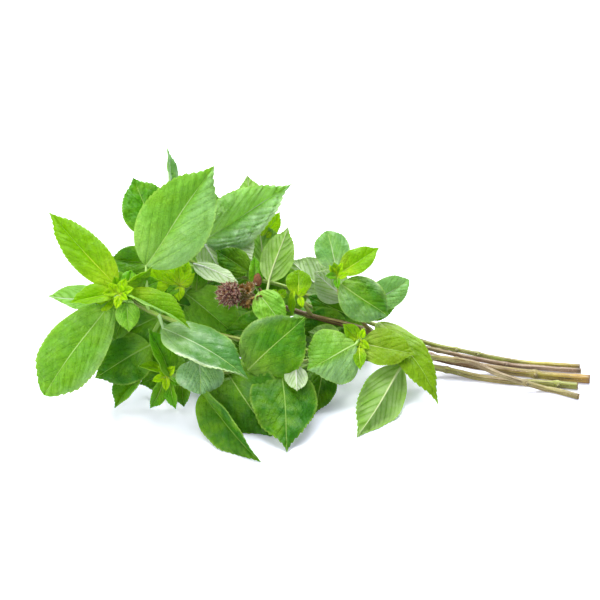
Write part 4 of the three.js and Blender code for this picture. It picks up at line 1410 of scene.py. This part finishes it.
@dataclass
class Sprig:
    """One stem of the bunch with its bare stalk, its side shoots and all its leaves.

    radius is at the cut end and at the tip, bare is how far across the woody stalk reaches, knots are the
    places of its nodes, tones its colours by the place across, scars the knots that show where leaves fell
    off.
    """

    name: str
    radius: tuple[float, float]
    bare: float
    knots: tuple[float, ...]
    path: tuple[Place, ...]
    tones: tuple[tuple[float, str], ...]
    scars: tuple[float, ...] = ()
    shoots: dict[str, Shoot] = field(default_factory=dict)
    far: FarLeaves = FarLeaves()

    FLAT_DEPTH = math.sin(math.radians(62))  # of the plain stem, which lies on a flat, over its radius
    OVERLAP = 0.9  # millimetres that the green stem reaches into the stalk
    RING = 0.9  # millimetres between the rings of a stem
    # The cut face: rings inside one another, by their radius, how far they are set back and their colour.
    CUT_FACE = (
        (0.3, 0.05, "#D2C68C"), (0.62, 0.02, "#BFAE74"), (0.86, 0.0, "#9A8450"), (0.97, 0.15, "#5E4626")
    )
    SCAR_TURNS = (20, 200)  # degrees round the stalk, for a knot's two scars
    SHARP = 62  # degrees from which an edge of a piece stays sharp
    FAR_FIT = 0.25  # the least share of a far leaf's corners that the frame's node has

    def __post_init__(self) -> None:
        """Lays the stem's path out in space."""
        least = 0.85 * self.FLAT_DEPTH * self.radius[0]
        self.curve = Curve([EYE.seen(p, least) for p in self.path])
        self.split = self.curve.share_at(self.bare)
        self.carriers = {self.name: self.curve}
        self.carriers |= {name: shoot.curve(self.curve) for name, shoot in self.shoots.items()}

    def colours(self, centres: Array) -> Array:
        """The stem's linear colour at each of these points."""
        stops = sorted(self.tones)
        across = [place - EYE.across for place, _ in stops]
        tones = np.array([rgb(tone) for _, tone in stops])
        return np.stack([np.interp(centres[:, 0], across, tones[:, k]) for k in range(3)], axis=-1)

    def stem_rod(self, start: float, end: float, cut: bool) -> Thing:
        """The stem between two shares of its length.

        Args:
            start: The share nearer to the cut end.
            end: The share nearer to the tip.
            cut: Whether it starts with the flat cut face.

        Returns:
            The closed rod.
        """
        rings = max(12, round((end - start) * self.curve.length / self.RING))
        shares = np.linspace(start, end, rings)
        lean = self.radius[0] + (self.radius[1] - self.radius[0]) * shares
        radii = lean.copy()
        for knot in self.knots:
            off = (shares - self.curve.share_at(knot)) * self.curve.length
            swell, waist = np.exp(-((off / 1.3) ** 2)), np.exp(-(((off + 4) / 2.5) ** 2))
            radii += 0.26 * lean * swell - 0.05 * lean * waist
        radii *= 1 + 0.018 * np.sin(shares * 61) + 0.012 * np.sin(shares * 173 + 1)
        centres = np.array([self.curve.at(s) for s in shares])
        centres[:, 2] = np.maximum(centres[:, 2], lean * self.FLAT_DEPTH)
        along = unit(np.gradient(centres, axis=0))
        side = unit(np.cross(np.array([0, 0, 1.0]), along))
        tones = self.colours(centres)
        if cut:
            spans, insets, pith = zip(*self.CUT_FACE)
            face = moved(centres[0], (along[0], np.array(insets)))
            centres = np.concatenate([face, centres[1:]])
            radii = np.concatenate([radii[0] * np.array(spans), radii[1:]])
            side = np.concatenate([np.repeat(side[:1], len(face), axis=0), side[1:]])
            tones = np.concatenate([[rgb(tone) for tone in pith], tones[1:]])
        thing = rod(
            "stem", centres, radii, side, PALETTE(BROWN_RIND if cut else GREEN_RIND, PITH), tones,
            corners=28, section=square_section,
        )
        if cut:
            reach = radii[len(self.CUT_FACE) - 1] * 1.02
            for polygon in thing.data.polygons:
                corners = np.array([thing.data.vertices[v].co for v in polygon.vertices]) / MM
                if np.all(np.linalg.norm(corners - centres[0], axis=1) < reach):
                    polygon.material_index = 1
        return thing

    def scar(self, across: float, turn: float) -> Thing:
        """The stub that a fallen leaf left on the stalk.

        Args:
            across: Where on the stalk it is.
            turn: Degrees round the stalk.

        Returns:
            The closed stub.
        """
        share = self.curve.share_at(across)
        centre, along = self.curve.at(share), self.curve.tangent(share)
        radius = self.radius[0] * 0.9
        out = turned(unit(np.cross(along, np.array([0, 0, 1.0]))), along, turn)
        steps = radius * np.array([0.0, 0.8, 1.4, 1.9, 2.15, 2.2])
        centres = moved(centre, (out, steps), (-along, 0.25 * steps))
        widths = radius * np.array([0.85, 0.75, 0.62, 0.52, 0.36, 0.12])
        tones = self.colours(centres) * np.array([1, 1, 0.75, 0.55, 0.4, 0.35])[:, None]
        return rod("scar", centres, widths, along, PALETTE(BROWN_RIND, PITH), tones, corners=12)

    def build(self, frame: dict) -> list[Thing]:
        """Makes the stalk, the green stem and the leaves, and puts each in its place in the frame.

        Args:
            frame: What the frame holds.

        Returns:
            The finished pieces.
        """
        overlap = self.OVERLAP / self.curve.length
        scars = [self.scar(knot, turn) for knot in self.scars for turn in self.SCAR_TURNS]
        shoots = [shoot.build(self.carriers[name]) for name, shoot in self.shoots.items()]
        stalk = joined(f"{self.name}_stalk_bark", [self.stem_rod(0, self.split, cut=True), *scars])
        leafy = self.stem_rod(self.split - overlap, 1, cut=False)
        stem = joined(f"{self.name}_sprig_stem", [leafy, *shoots])
        fitting = Fitting(frame["nodes"][f"{self.name}_sprig"])
        first = 97 * len(self.name) + ord(self.name[0])
        made = [blade.build(first + 13 * i) for i, blade in enumerate(self.blades(fitting))]
        sheets, ribs = zip(*made)
        leaves = joined("leaves", sheets)
        thickened(leaves, Blade.THICKNESS)
        leaves = joined(f"{self.name}_sprig_leaves", [leaves, *ribs])
        return [
            dressed(stalk, f"{self.name}_stalk", self.SHARP),
            dressed(stem, f"{self.name}_sprig", self.SHARP),
            dressed(leaves, f"{self.name}_sprig", self.SHARP),
        ]

    def blades(self, fitting: Fitting) -> list[Blade]:
        """The leaves of this sprig, each as the frame's node has it."""
        blades = []
        for leaf in (*LEAVES, *TIP_LEAVES):
            if leaf.on not in self.carriers:
                continue
            curve = self.carriers[leaf.on]
            root = curve.at(max(0, 1 - leaf.back / curve.length))
            tried = [
                Blade(
                    root,
                    EYE.seen((*leaf.base[:2], leaf.base[2] + foot), Blade.LOWEST),
                    EYE.seen((*leaf.tip[:2], leaf.tip[2] + end), Blade.LOWEST),
                    leaf,
                )
                for end, foot in LEANS
            ]
            blades.append(fitting.best(tried, 0.0))
        leafy = (1 - self.split) * self.curve.length
        for number in range(max(0, math.ceil((leafy - self.far.margin) / self.far.pitch))):
            found = fitting.best(self.far.tried(self.curve, number), self.FAR_FIT)
            if found:
                blades.append(found)
        return blades


SPRIGS = [
    Sprig(
        "left", (1.85, 0.9), 62, (128, 74),
        ((139, -43.2, 0), (124, -42, 0), (100, -40.2, 0), (90, -38.8, -6), (71.5, -34.5, -1.8), (40, -30, 5),
         (0, -25, 16), (-40, -17.5, 25), (-67.5, -9, 32), (-80, -3, 34), (-89.5, 4.5, 35)),
        ((139, "#6A5420"), (137.5, "#86962A"), (118, "#9AA234"), (100, "#8E7E40"), (75, "#8C9038"),
         (40, "#8CA04A"), (-89, "#9CC44A")),
        scars=(128,),
    ),
    Sprig(
        "low", (1.5, 0.8), 64, (112, 78),
        ((139.5, -48.5, 0), (124, -44.75, 0), (110.5, -40.75, 10), (100, -37.3, 7), (93.5, -34.5, 4.8),
         (87, -31.5, 3.3), (71, -29, 5.4), (40, -26.5, 12), (0, -31, 24), (-35, -36, 28), (-55, -38, 27),
         (-66.5, -37.5, 26)),
        ((139.5, "#4E3A1E"), (137.5, "#7A7034"), (128, "#9C944C"), (100, "#96885A"), (85, "#84704C"),
         (70, "#9A9040"), (40, "#8CA04A"), (-66, "#9CC44A")),
        scars=(112,),
    ),
    Sprig(
        "flowering", (2.2, 1.2), 58, (118, 66, 33, 4),
        ((145, -39.8, -9), (124, -38, -9), (110, -36.3, -5), (90, -33.2, -4), (70.5, -29.5, -4),
         (50, -23, -4), (32.5, -15, -1), (4, -7.5, 5), (-11, -2.5, 9), (-21.5, 1.5, 13)),
        ((145, "#6E4416"), (142, "#AA8420"), (120, "#9A9028"), (100, "#8A7434"), (80, "#846440"),
         (40, "#7C5038"), (0, "#6E4232"), (-21, "#7A5A3A")),
        scars=(118,),
        shoots={
            "right": Shoot(36, ((27, -6, 5), (20.5, 0, 8), (18.5, 10, 10)), ("#7A5234", "#A0B850")),
            "hanging": Shoot(33, ((31, -15, 6), (30, -20.5, 12)), ("#B8A860", "#B4CC5C")),
            "inner": Shoot(6, ((2, -2, 10), (0, 1.5, 12)), ("#8A7A44", "#9CC44A")),
            "budding": Shoot(-15, ((-18, 2.5, 9), (-20.5, 6, 9)), ("#7A5A3A", "#8A5A34")),
        },
    ),
    Sprig(
        "upper", (1.4, 0.8), 60, (90, 79),
        ((140, -33.5, -12), (118.5, -32, -12), (106, -30.5, -12), (79, -25, -13.2), (66, -22.2, -12),
         (25, -7.5, -13), (-10, 7.5, -8), (-35, 12.5, 3), (-52, 18, 10), (-68.5, 30, 16)),
        ((140, "#7E7030"), (138.5, "#A8983C"), (118, "#AEA63C"), (100, "#8CA02C"), (60, "#98A038"),
         (20, "#8FAE48"), (-68, "#9CC44A")),
        scars=(90, 79),
        shoots={"tuft": Shoot(-38, ((-49, 8, 8), (-60, 5.5, 14)))},
    ),
    Sprig(
        "back", (1.3, 0.8), 58, (104, 70),
        ((140.5, -35.5, -8), (122, -34, -8), (105, -32.5, -8), (70, -25.5, -9.6), (30, -15, -14),
         (-5, 2.5, -18), (-30, 19, -14), (-50, 30.5, -8)),
        ((140, "#4E3A28"), (138.5, "#80664C"), (120, "#98806C"), (90, "#8C705A"), (60, "#867A44"),
         (20, "#8CA04A"), (-50, "#9CC44A")),
        scars=(104,),
    ),
]


# ---------------------------------------------------------------- flower


SCALE_FACES = (8, 6)  # of each bract and bud scale, along it and across
SCALE_SHARP = 50  # degrees from which an edge of the flower's pieces stays sharp


def scale_grid() -> tuple[Array, Array]:
    """A scale's shares of its length, and of half its width."""
    along, across = SCALE_FACES
    return np.linspace(0, 1, along + 1)[:, None], np.linspace(-1, 1, across + 1)[None]


@dataclass
class Knob:
    """The round end of the flower head, which its buds and bracts stand on.

    draw is what the whole head draws its small differences from, hair_roots gathers where its hairs grow.
    """

    middle: Array
    along: Array
    side: Array
    draw: np.random.Generator
    hair_roots: list[tuple[Array, Array]] = field(default_factory=list)

    def outward(self, number: int, count: int) -> Array:
        """One of a count of directions spread evenly over a ball, in a spiral about its axis.

        Args:
            number: Which of them.
            count: How many there are.
        """
        height = 1 - 1.86 * (number + 0.5) / count
        flat = math.sqrt(1 - height**2)
        return unit(self.along * height + turned(self.side, self.along, GOLDEN_TURN * number) * flat)

    def scaled(self, size: tuple[float, float], most: float) -> list[float]:
        """A length and a width drawn about their usual size.

        Args:
            size: The usual length and width.
            most: The largest share of them; the smallest is 0.8.
        """
        return [value * self.draw.uniform(0.8, most) for value in size]


@dataclass(frozen=True)
class FlowerHead:
    """The flower head: a dense knob of small buds and bracts, and the whorl of cups on the axis behind it."""

    path: tuple[Place, ...] = ((-22.5, 1.9, 13.6), (-28, 2.8, 16), (-34, 3, 19), (-39, 3, 22))
    radius: float = 1.1
    cups: int = 16
    cup_reach: float = 6.6
    cup_radius: float = 1.45
    cup_corners: int = 20
    cup_hairs: int = 16
    buds: int = 150
    bud: tuple[float, float] = (2.3, 0.68)  # its length and radius
    bracts: int = 46
    bract: tuple[float, float] = (3.6, 2.1)  # its length and width
    bract_hairs: int = 4
    knob: float = 3.9  # its radius, under the buds
    knob_at: float = 0.76
    thickness: float = 0.2
    seed: int = 11

    def build(self) -> list[Thing]:
        """Makes the flower head's pieces."""
        axis = Curve([EYE.seen(p) for p in self.path])
        knob = Knob(*self._around(axis, self.knob_at, 0.0), np.random.default_rng(self.seed))
        shares = np.linspace(0, 0.8, 20)
        centres = np.array([axis.at(s) for s in shares])
        radii = self.radius * np.where(shares < 0.5, 1.0, 0.9) + 0.15 * np.sin(shares * 30)
        stem = rod(
            "axis", centres, radii, np.array([0.1, 0.2, 1.0]), PALETTE(GREEN_RIND), rgb("#8A6A40"),
            corners=12, section=square_section,
        )
        cups = [self._cup(axis, i, knob) for i in range(self.cups)]
        turns = np.linspace(0.04, 0.96, 9) * math.pi
        core = rod(
            "core", moved(knob.middle, (-knob.along, self.knob * np.cos(turns))), self.knob * np.sin(turns),
            knob.side, PALETTE(FLOWER), rgb("#54302F"), corners=16,
        )
        buds = [self._bud(i, knob) for i in range(self.buds)]
        sheets = joined("bracts", [self._bract(i, knob) for i in range(self.bracts)])
        thickened(sheets, self.thickness)
        hairs = [self._hair(root, out, knob.draw) for root, out in knob.hair_roots]
        pieces = [
            joined("flower_axis_and_cups", [stem, *cups]),
            joined("flower_bracts", [sheets, core, *buds]),
            joined("flower_hairs", hairs),
        ]
        return [dressed(piece, "flower_head", SCALE_SHARP) for piece in pieces]

    @staticmethod
    def _around(axis: Curve, share: float, turn: float) -> tuple[Array, Array, Array]:
        """A point of the axis, its direction and a direction round it."""
        along = axis.tangent(share)
        side = unit(np.cross(np.array([0, 0, 1.0]), along))
        return axis.at(share), along, turned(side, along, turn)

    def _cup(self, axis: Curve, number: int, knob: Knob) -> Thing:
        """One calyx: a ribbed bell with five points at its mouth, open, with walls of its own.

        Args:
            axis: The flower head's axis.
            number: The cup's number along and round it.
            knob: What draws its differences and takes its hairs.

        Returns:
            The cup.
        """
        draw = knob.draw
        foot, along, out = self._around(axis, 0.04 + 0.07 * (number % 4), GOLDEN_TURN * number)
        lean = math.radians(84 - 9 * (number % 4) + draw.uniform(-16, 22))
        way = unit(along * math.cos(lean) + out * math.sin(lean))
        reach = self.cup_reach * draw.uniform(0.8, 1.08)
        side = unit(np.cross(way, along))
        up = np.cross(way, side)
        steps = np.array([0.0, 0.2, 0.32, 0.45, 0.62, 0.8, 0.92, 1.0, 0.98, 0.9, 0.7, 0.5, 0.42])[:, None]
        width = np.array([0.3, 0.28, 0.45, 0.8, 1.0, 0.98, 1.05, 1.25, 1.12, 0.9, 0.78, 0.55, 0.05])[:, None]
        angle = 2 * math.pi * np.arange(self.cup_corners) / self.cup_corners
        lobe = 0.12 * np.cos(5 * angle) * ramp(0.75, 1.0, steps)
        width = width * self.cup_radius * (1 + 0.06 * np.cos(10 * angle) * (steps > 0.3))
        points = moved(
            foot,
            (way, (steps + lobe) * reach),
            (side, width * np.cos(angle)),
            (up, width * np.sin(angle) * 0.85),
        )
        base = rgb(("#909840", "#A89048", "#8E7A38")[number % 3])
        mouth = rgb(("#A06A38", "#7E4434", "#9A7038")[number % 3])
        lanes = {
            "lie": packed(steps * reach, angle * self.cup_radius, 0.0),
            "tone": blend(base, mouth, ramp(0.3, 0.95, steps)[..., None]),
        }
        for _ in range(self.cup_hairs):
            i, j = int(draw.integers(2, 8)), int(draw.integers(0, self.cup_corners))
            inside = foot + way * steps[i] * reach
            knob.hair_roots.append((points[i, j], unit(points[i, j] - inside + way * 0.6)))
        blank = BLANKS.tube(len(steps), self.cup_corners)
        return shaped("cup", blank, points, lanes, PALETTE(GREEN_RIND, CALYX), 1)

    def _bud(self, number: int, knob: Knob) -> Thing:
        """One small round bud of the knob."""
        draw, out = knob.draw, knob.outward(number, self.buds)
        way = unit(out + 0.35 * knob.along + 0.3 * draw.normal(size=3))
        length, radius = knob.scaled(self.bud, 1.2)
        shares = np.array([-0.35, 0.0, 0.3, 0.55, 0.8, 0.95, 1.0])
        centres = moved(knob.middle, (out, self.knob * draw.uniform(0.9, 1.04)), (way, shares * length))
        widths = radius * np.array([0.5, 0.75, 1.0, 1.0, 0.75, 0.4, 0.1])
        low = rgb(("#6C3C38", "#7A4840", "#84523E", "#5E3430")[number % 4])
        high = rgb(("#A4746A", "#BC9080", "#A87850", "#925E5E")[int(draw.integers(0, 4))])
        tones = blend(low, high, ramp(0.3, 1.0, shares)[:, None])
        knob.hair_roots.append((centres[3] + out * widths[3], unit(way + 0.8 * draw.normal(size=3))))
        return rod("bud", centres, widths, knob.along + 0.3 * knob.side, PALETTE(FLOWER), tones)

    def _bract(self, number: int, knob: Knob) -> Thing:
        """One bract: a pointed, cupped scale that stands out between the buds."""
        draw, out = knob.draw, knob.outward(number, self.bracts)
        way = unit(0.9 * out + 0.75 * knob.along + 0.15 * draw.normal(size=3))
        across = unit(np.cross(way, out + 0.05 * knob.side))
        face = np.cross(across, way)
        length, wide = knob.scaled(self.bract, 1.1)
        u, v = scale_grid()
        half = np.maximum(wide / 2 * np.sin(math.pi * np.clip(0.16 + 0.84 * u, 0, 1)) ** 0.75, 0.05)
        points = moved(
            knob.middle + out * self.knob * 0.98,
            (way, u * length),
            (across, v * half),
            (face, 0.5 * half * v**2 + 0.4 * length * (u - 0.5) ** 2),
        )
        tip = rgb("#A07868" if number % 3 else "#A88850")
        lanes = {
            "lie": packed(u * length, v * half, 3.0 * number),
            "tone": blend(rgb("#683A34"), tip, (0.6 * u**2 + 0.4 * np.abs(v))[..., None]),
        }
        for _ in range(self.bract_hairs):
            i, j = int(draw.integers(3, 9)), int(draw.integers(0, 7))
            hair = way + out * draw.uniform(0.1, 0.8) + across * draw.uniform(-0.5, 0.5)
            knob.hair_roots.append((points[i, j], unit(hair)))
        return shaped("bract", BLANKS.sheet(*SCALE_FACES), points, lanes, PALETTE(FLOWER, FLOWER))

    @staticmethod
    def _hair(root: Array, out: Array, draw: np.random.Generator) -> Thing:
        """One stiff hair, tapering to its tip."""
        reach = draw.uniform(0.7, 2.0)
        bend = unit(np.cross(out, draw.uniform(-1, 1, 3)))
        shares = np.array([-0.1, 0.3, 0.7, 1.0])
        centres = moved(root, (out, shares * reach), (bend, 0.16 * reach * shares**2))
        radii = np.array([0.085, 0.075, 0.05, 0.02])
        return rod("hair", centres, radii, bend, PALETTE(HAIR), rgb("#E2D6B4"), corners=4)


@dataclass(frozen=True)
class Bud:
    """The closed brown bud on its own short shoot: pointed scales that overlap round a core."""

    foot: Place = (-20.9, 6.8, 9)
    tip: Place = (-21.4, 13.8, 9)
    radius: float = 1.9
    scales: int = 16
    thickness: float = 0.18
    dark: str = "#3E2016"
    lights: tuple[str, str] = ("#7E4C38", "#A66A48")

    def build(self) -> list[Thing]:
        """Makes the bud."""
        foot, tip = EYE.seen(self.foot), EYE.seen(self.tip)
        way, length = unit(tip - foot), float(np.linalg.norm(tip - foot))
        side = unit(np.cross(way, np.array([0.3, 1.0, 0.0])))
        up = np.cross(way, side)
        shares = np.linspace(0, 1, 11)
        swell = np.array([0.42, 0.66, 0.85, 0.96, 1.0, 0.96, 0.86, 0.7, 0.5, 0.28, 0.08]) * self.radius * 0.85
        core = rod(
            "core", moved(foot, (way, shares * length * 0.96)), swell, side, PALETTE(SCALE), rgb(self.dark),
            corners=14,
        )
        u, v = scale_grid()
        sheets = []
        for i in range(self.scales):
            low = 0.02 + 0.5 * i / self.scales
            at = low + (min(1.02, low + 0.5) - low) * u
            around = np.interp(at, shares, swell) * 1.04 + 0.12 + 0.1 * np.sin(math.pi * u) + 0.45 * u**2
            opening = 0.95 * np.sin(math.pi * (0.2 + 0.8 * u)) ** 0.7
            angle = math.radians(GOLDEN_TURN * i) + v * opening
            points = moved(
                foot, (way, at * length), (side, around * np.cos(angle)), (up, around * np.sin(angle))
            )
            light = rgb(self.lights[i % 2])
            lanes = {
                "lie": packed(at * length, v * self.radius, 3.0 * i),
                "tone": blend(light, rgb(self.dark), (0.7 * u**2 + 0.3 * np.abs(v))[..., None]),
            }
            # Turned over, so that the upper side looks outward.
            blank = BLANKS.sheet(*SCALE_FACES)
            sheets.append(shaped("scale", blank, points[:, ::-1], lanes, PALETTE(SCALE, SCALE)))
        scales = joined("scales", sheets)
        thickened(scales, self.thickness)
        return [dressed(joined("flower_bud_scales", [scales, core]), "flower_bud", SCALE_SHARP)]


# ---------------------------------------------------------------- studio


@dataclass(frozen=True)
class SoftLight:
    """A soft box: where it stands, what it points at, its size and its power."""

    name: str
    at: tuple[float, float, float]
    aim: tuple[float, float, float]
    size: tuple[float, float]
    watts: float
    colour: str = "#FFFFFF"

    def build(self) -> None:
        """Sets the light up."""
        lamp = bpy.data.lights.new(self.name, "AREA")
        lamp.shape = "RECTANGLE"
        lamp.size, lamp.size_y = self.size
        lamp.energy = self.watts
        lamp.color = linear(self.colour)[:3]
        thing = bpy.data.objects.new(self.name, lamp)
        bpy.context.scene.collection.objects.link(thing)
        thing.location = self.at
        thing.rotation_euler = (Vector(self.aim) - Vector(self.at)).to_track_quat("-Z", "Y").to_euler()


@dataclass(frozen=True)
class Studio:
    """A white table under soft boxes in a white room, and the camera."""

    table: float = 6.0
    room: float = 0.5
    focal: float = 135.0
    sensor: float = 36.0
    farthest: float = 20.0
    lights: tuple[SoftLight, ...] = (
        SoftLight("overhead", (-0.15, 0.4, 1.15), (-0.1, 0.0, 0.03), (1.1, 0.7), 20.5),
        SoftLight("left_front", (-1.0, -0.7, 0.75), (-0.1, 0.0, 0.03), (0.7, 0.7), 11.5, "#FFFCF2"),
        SoftLight("back", (0.15, 1.3, 0.6), (-0.1, 0.0, 0.05), (1.0, 0.5), 13.5),
    )

    def build(self) -> None:
        """Sets the table, the lights and the camera up."""
        bpy.ops.mesh.primitive_plane_add(size=self.table)
        table = bpy.context.object
        table.name = "table_top"
        table.data.materials.append(PALETTE(TableFinish())[0])
        table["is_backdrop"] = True
        for light in self.lights:
            light.build()
        scene = bpy.context.scene
        world = bpy.data.worlds.new("white_room")
        scene.world = world
        world.use_nodes = True
        world.node_tree.nodes.clear()
        sky = wire(world.node_tree, "Background", linear("#F0F5FF"), self.room)
        wire(world.node_tree, "OutputWorld", sky)
        lens = bpy.data.cameras.new("camera")
        lens.lens = self.focal
        lens.sensor_width = self.sensor
        lens.clip_end = self.farthest
        camera = bpy.data.objects.new("camera", lens)
        scene.collection.objects.link(camera)
        camera.location = Vector(EYE.point * MM)
        away = Vector(-EYE.towards)
        camera.rotation_euler = away.to_track_quat("-Z", "Y").to_euler()
        scene.camera = camera
        scene.view_settings.view_transform = "Standard"
        scene.view_settings.look = "None"


def corners() -> list[list[float]]:
    """The visual model's lowest and highest corner."""
    return [list(corner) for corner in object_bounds()]


def main() -> None:
    """Builds the bunch, sprig by sprig, and sets the studio up round it."""
    logging.basicConfig(level=logging.INFO, format="%(message)s")
    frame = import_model()
    pieces: list[Thing] = []
    for sprig in SPRIGS:
        pieces += sprig.build(frame)
    pieces += FlowerHead().build()
    pieces += Bud().build()
    BLANKS.clear()
    for piece in pieces:
        piece.data.calc_loop_triangles()
        log.info("%s: %d triangles", piece.name, len(piece.data.loop_triangles))
    Studio().build()


if __name__ == "__main__":
    main()
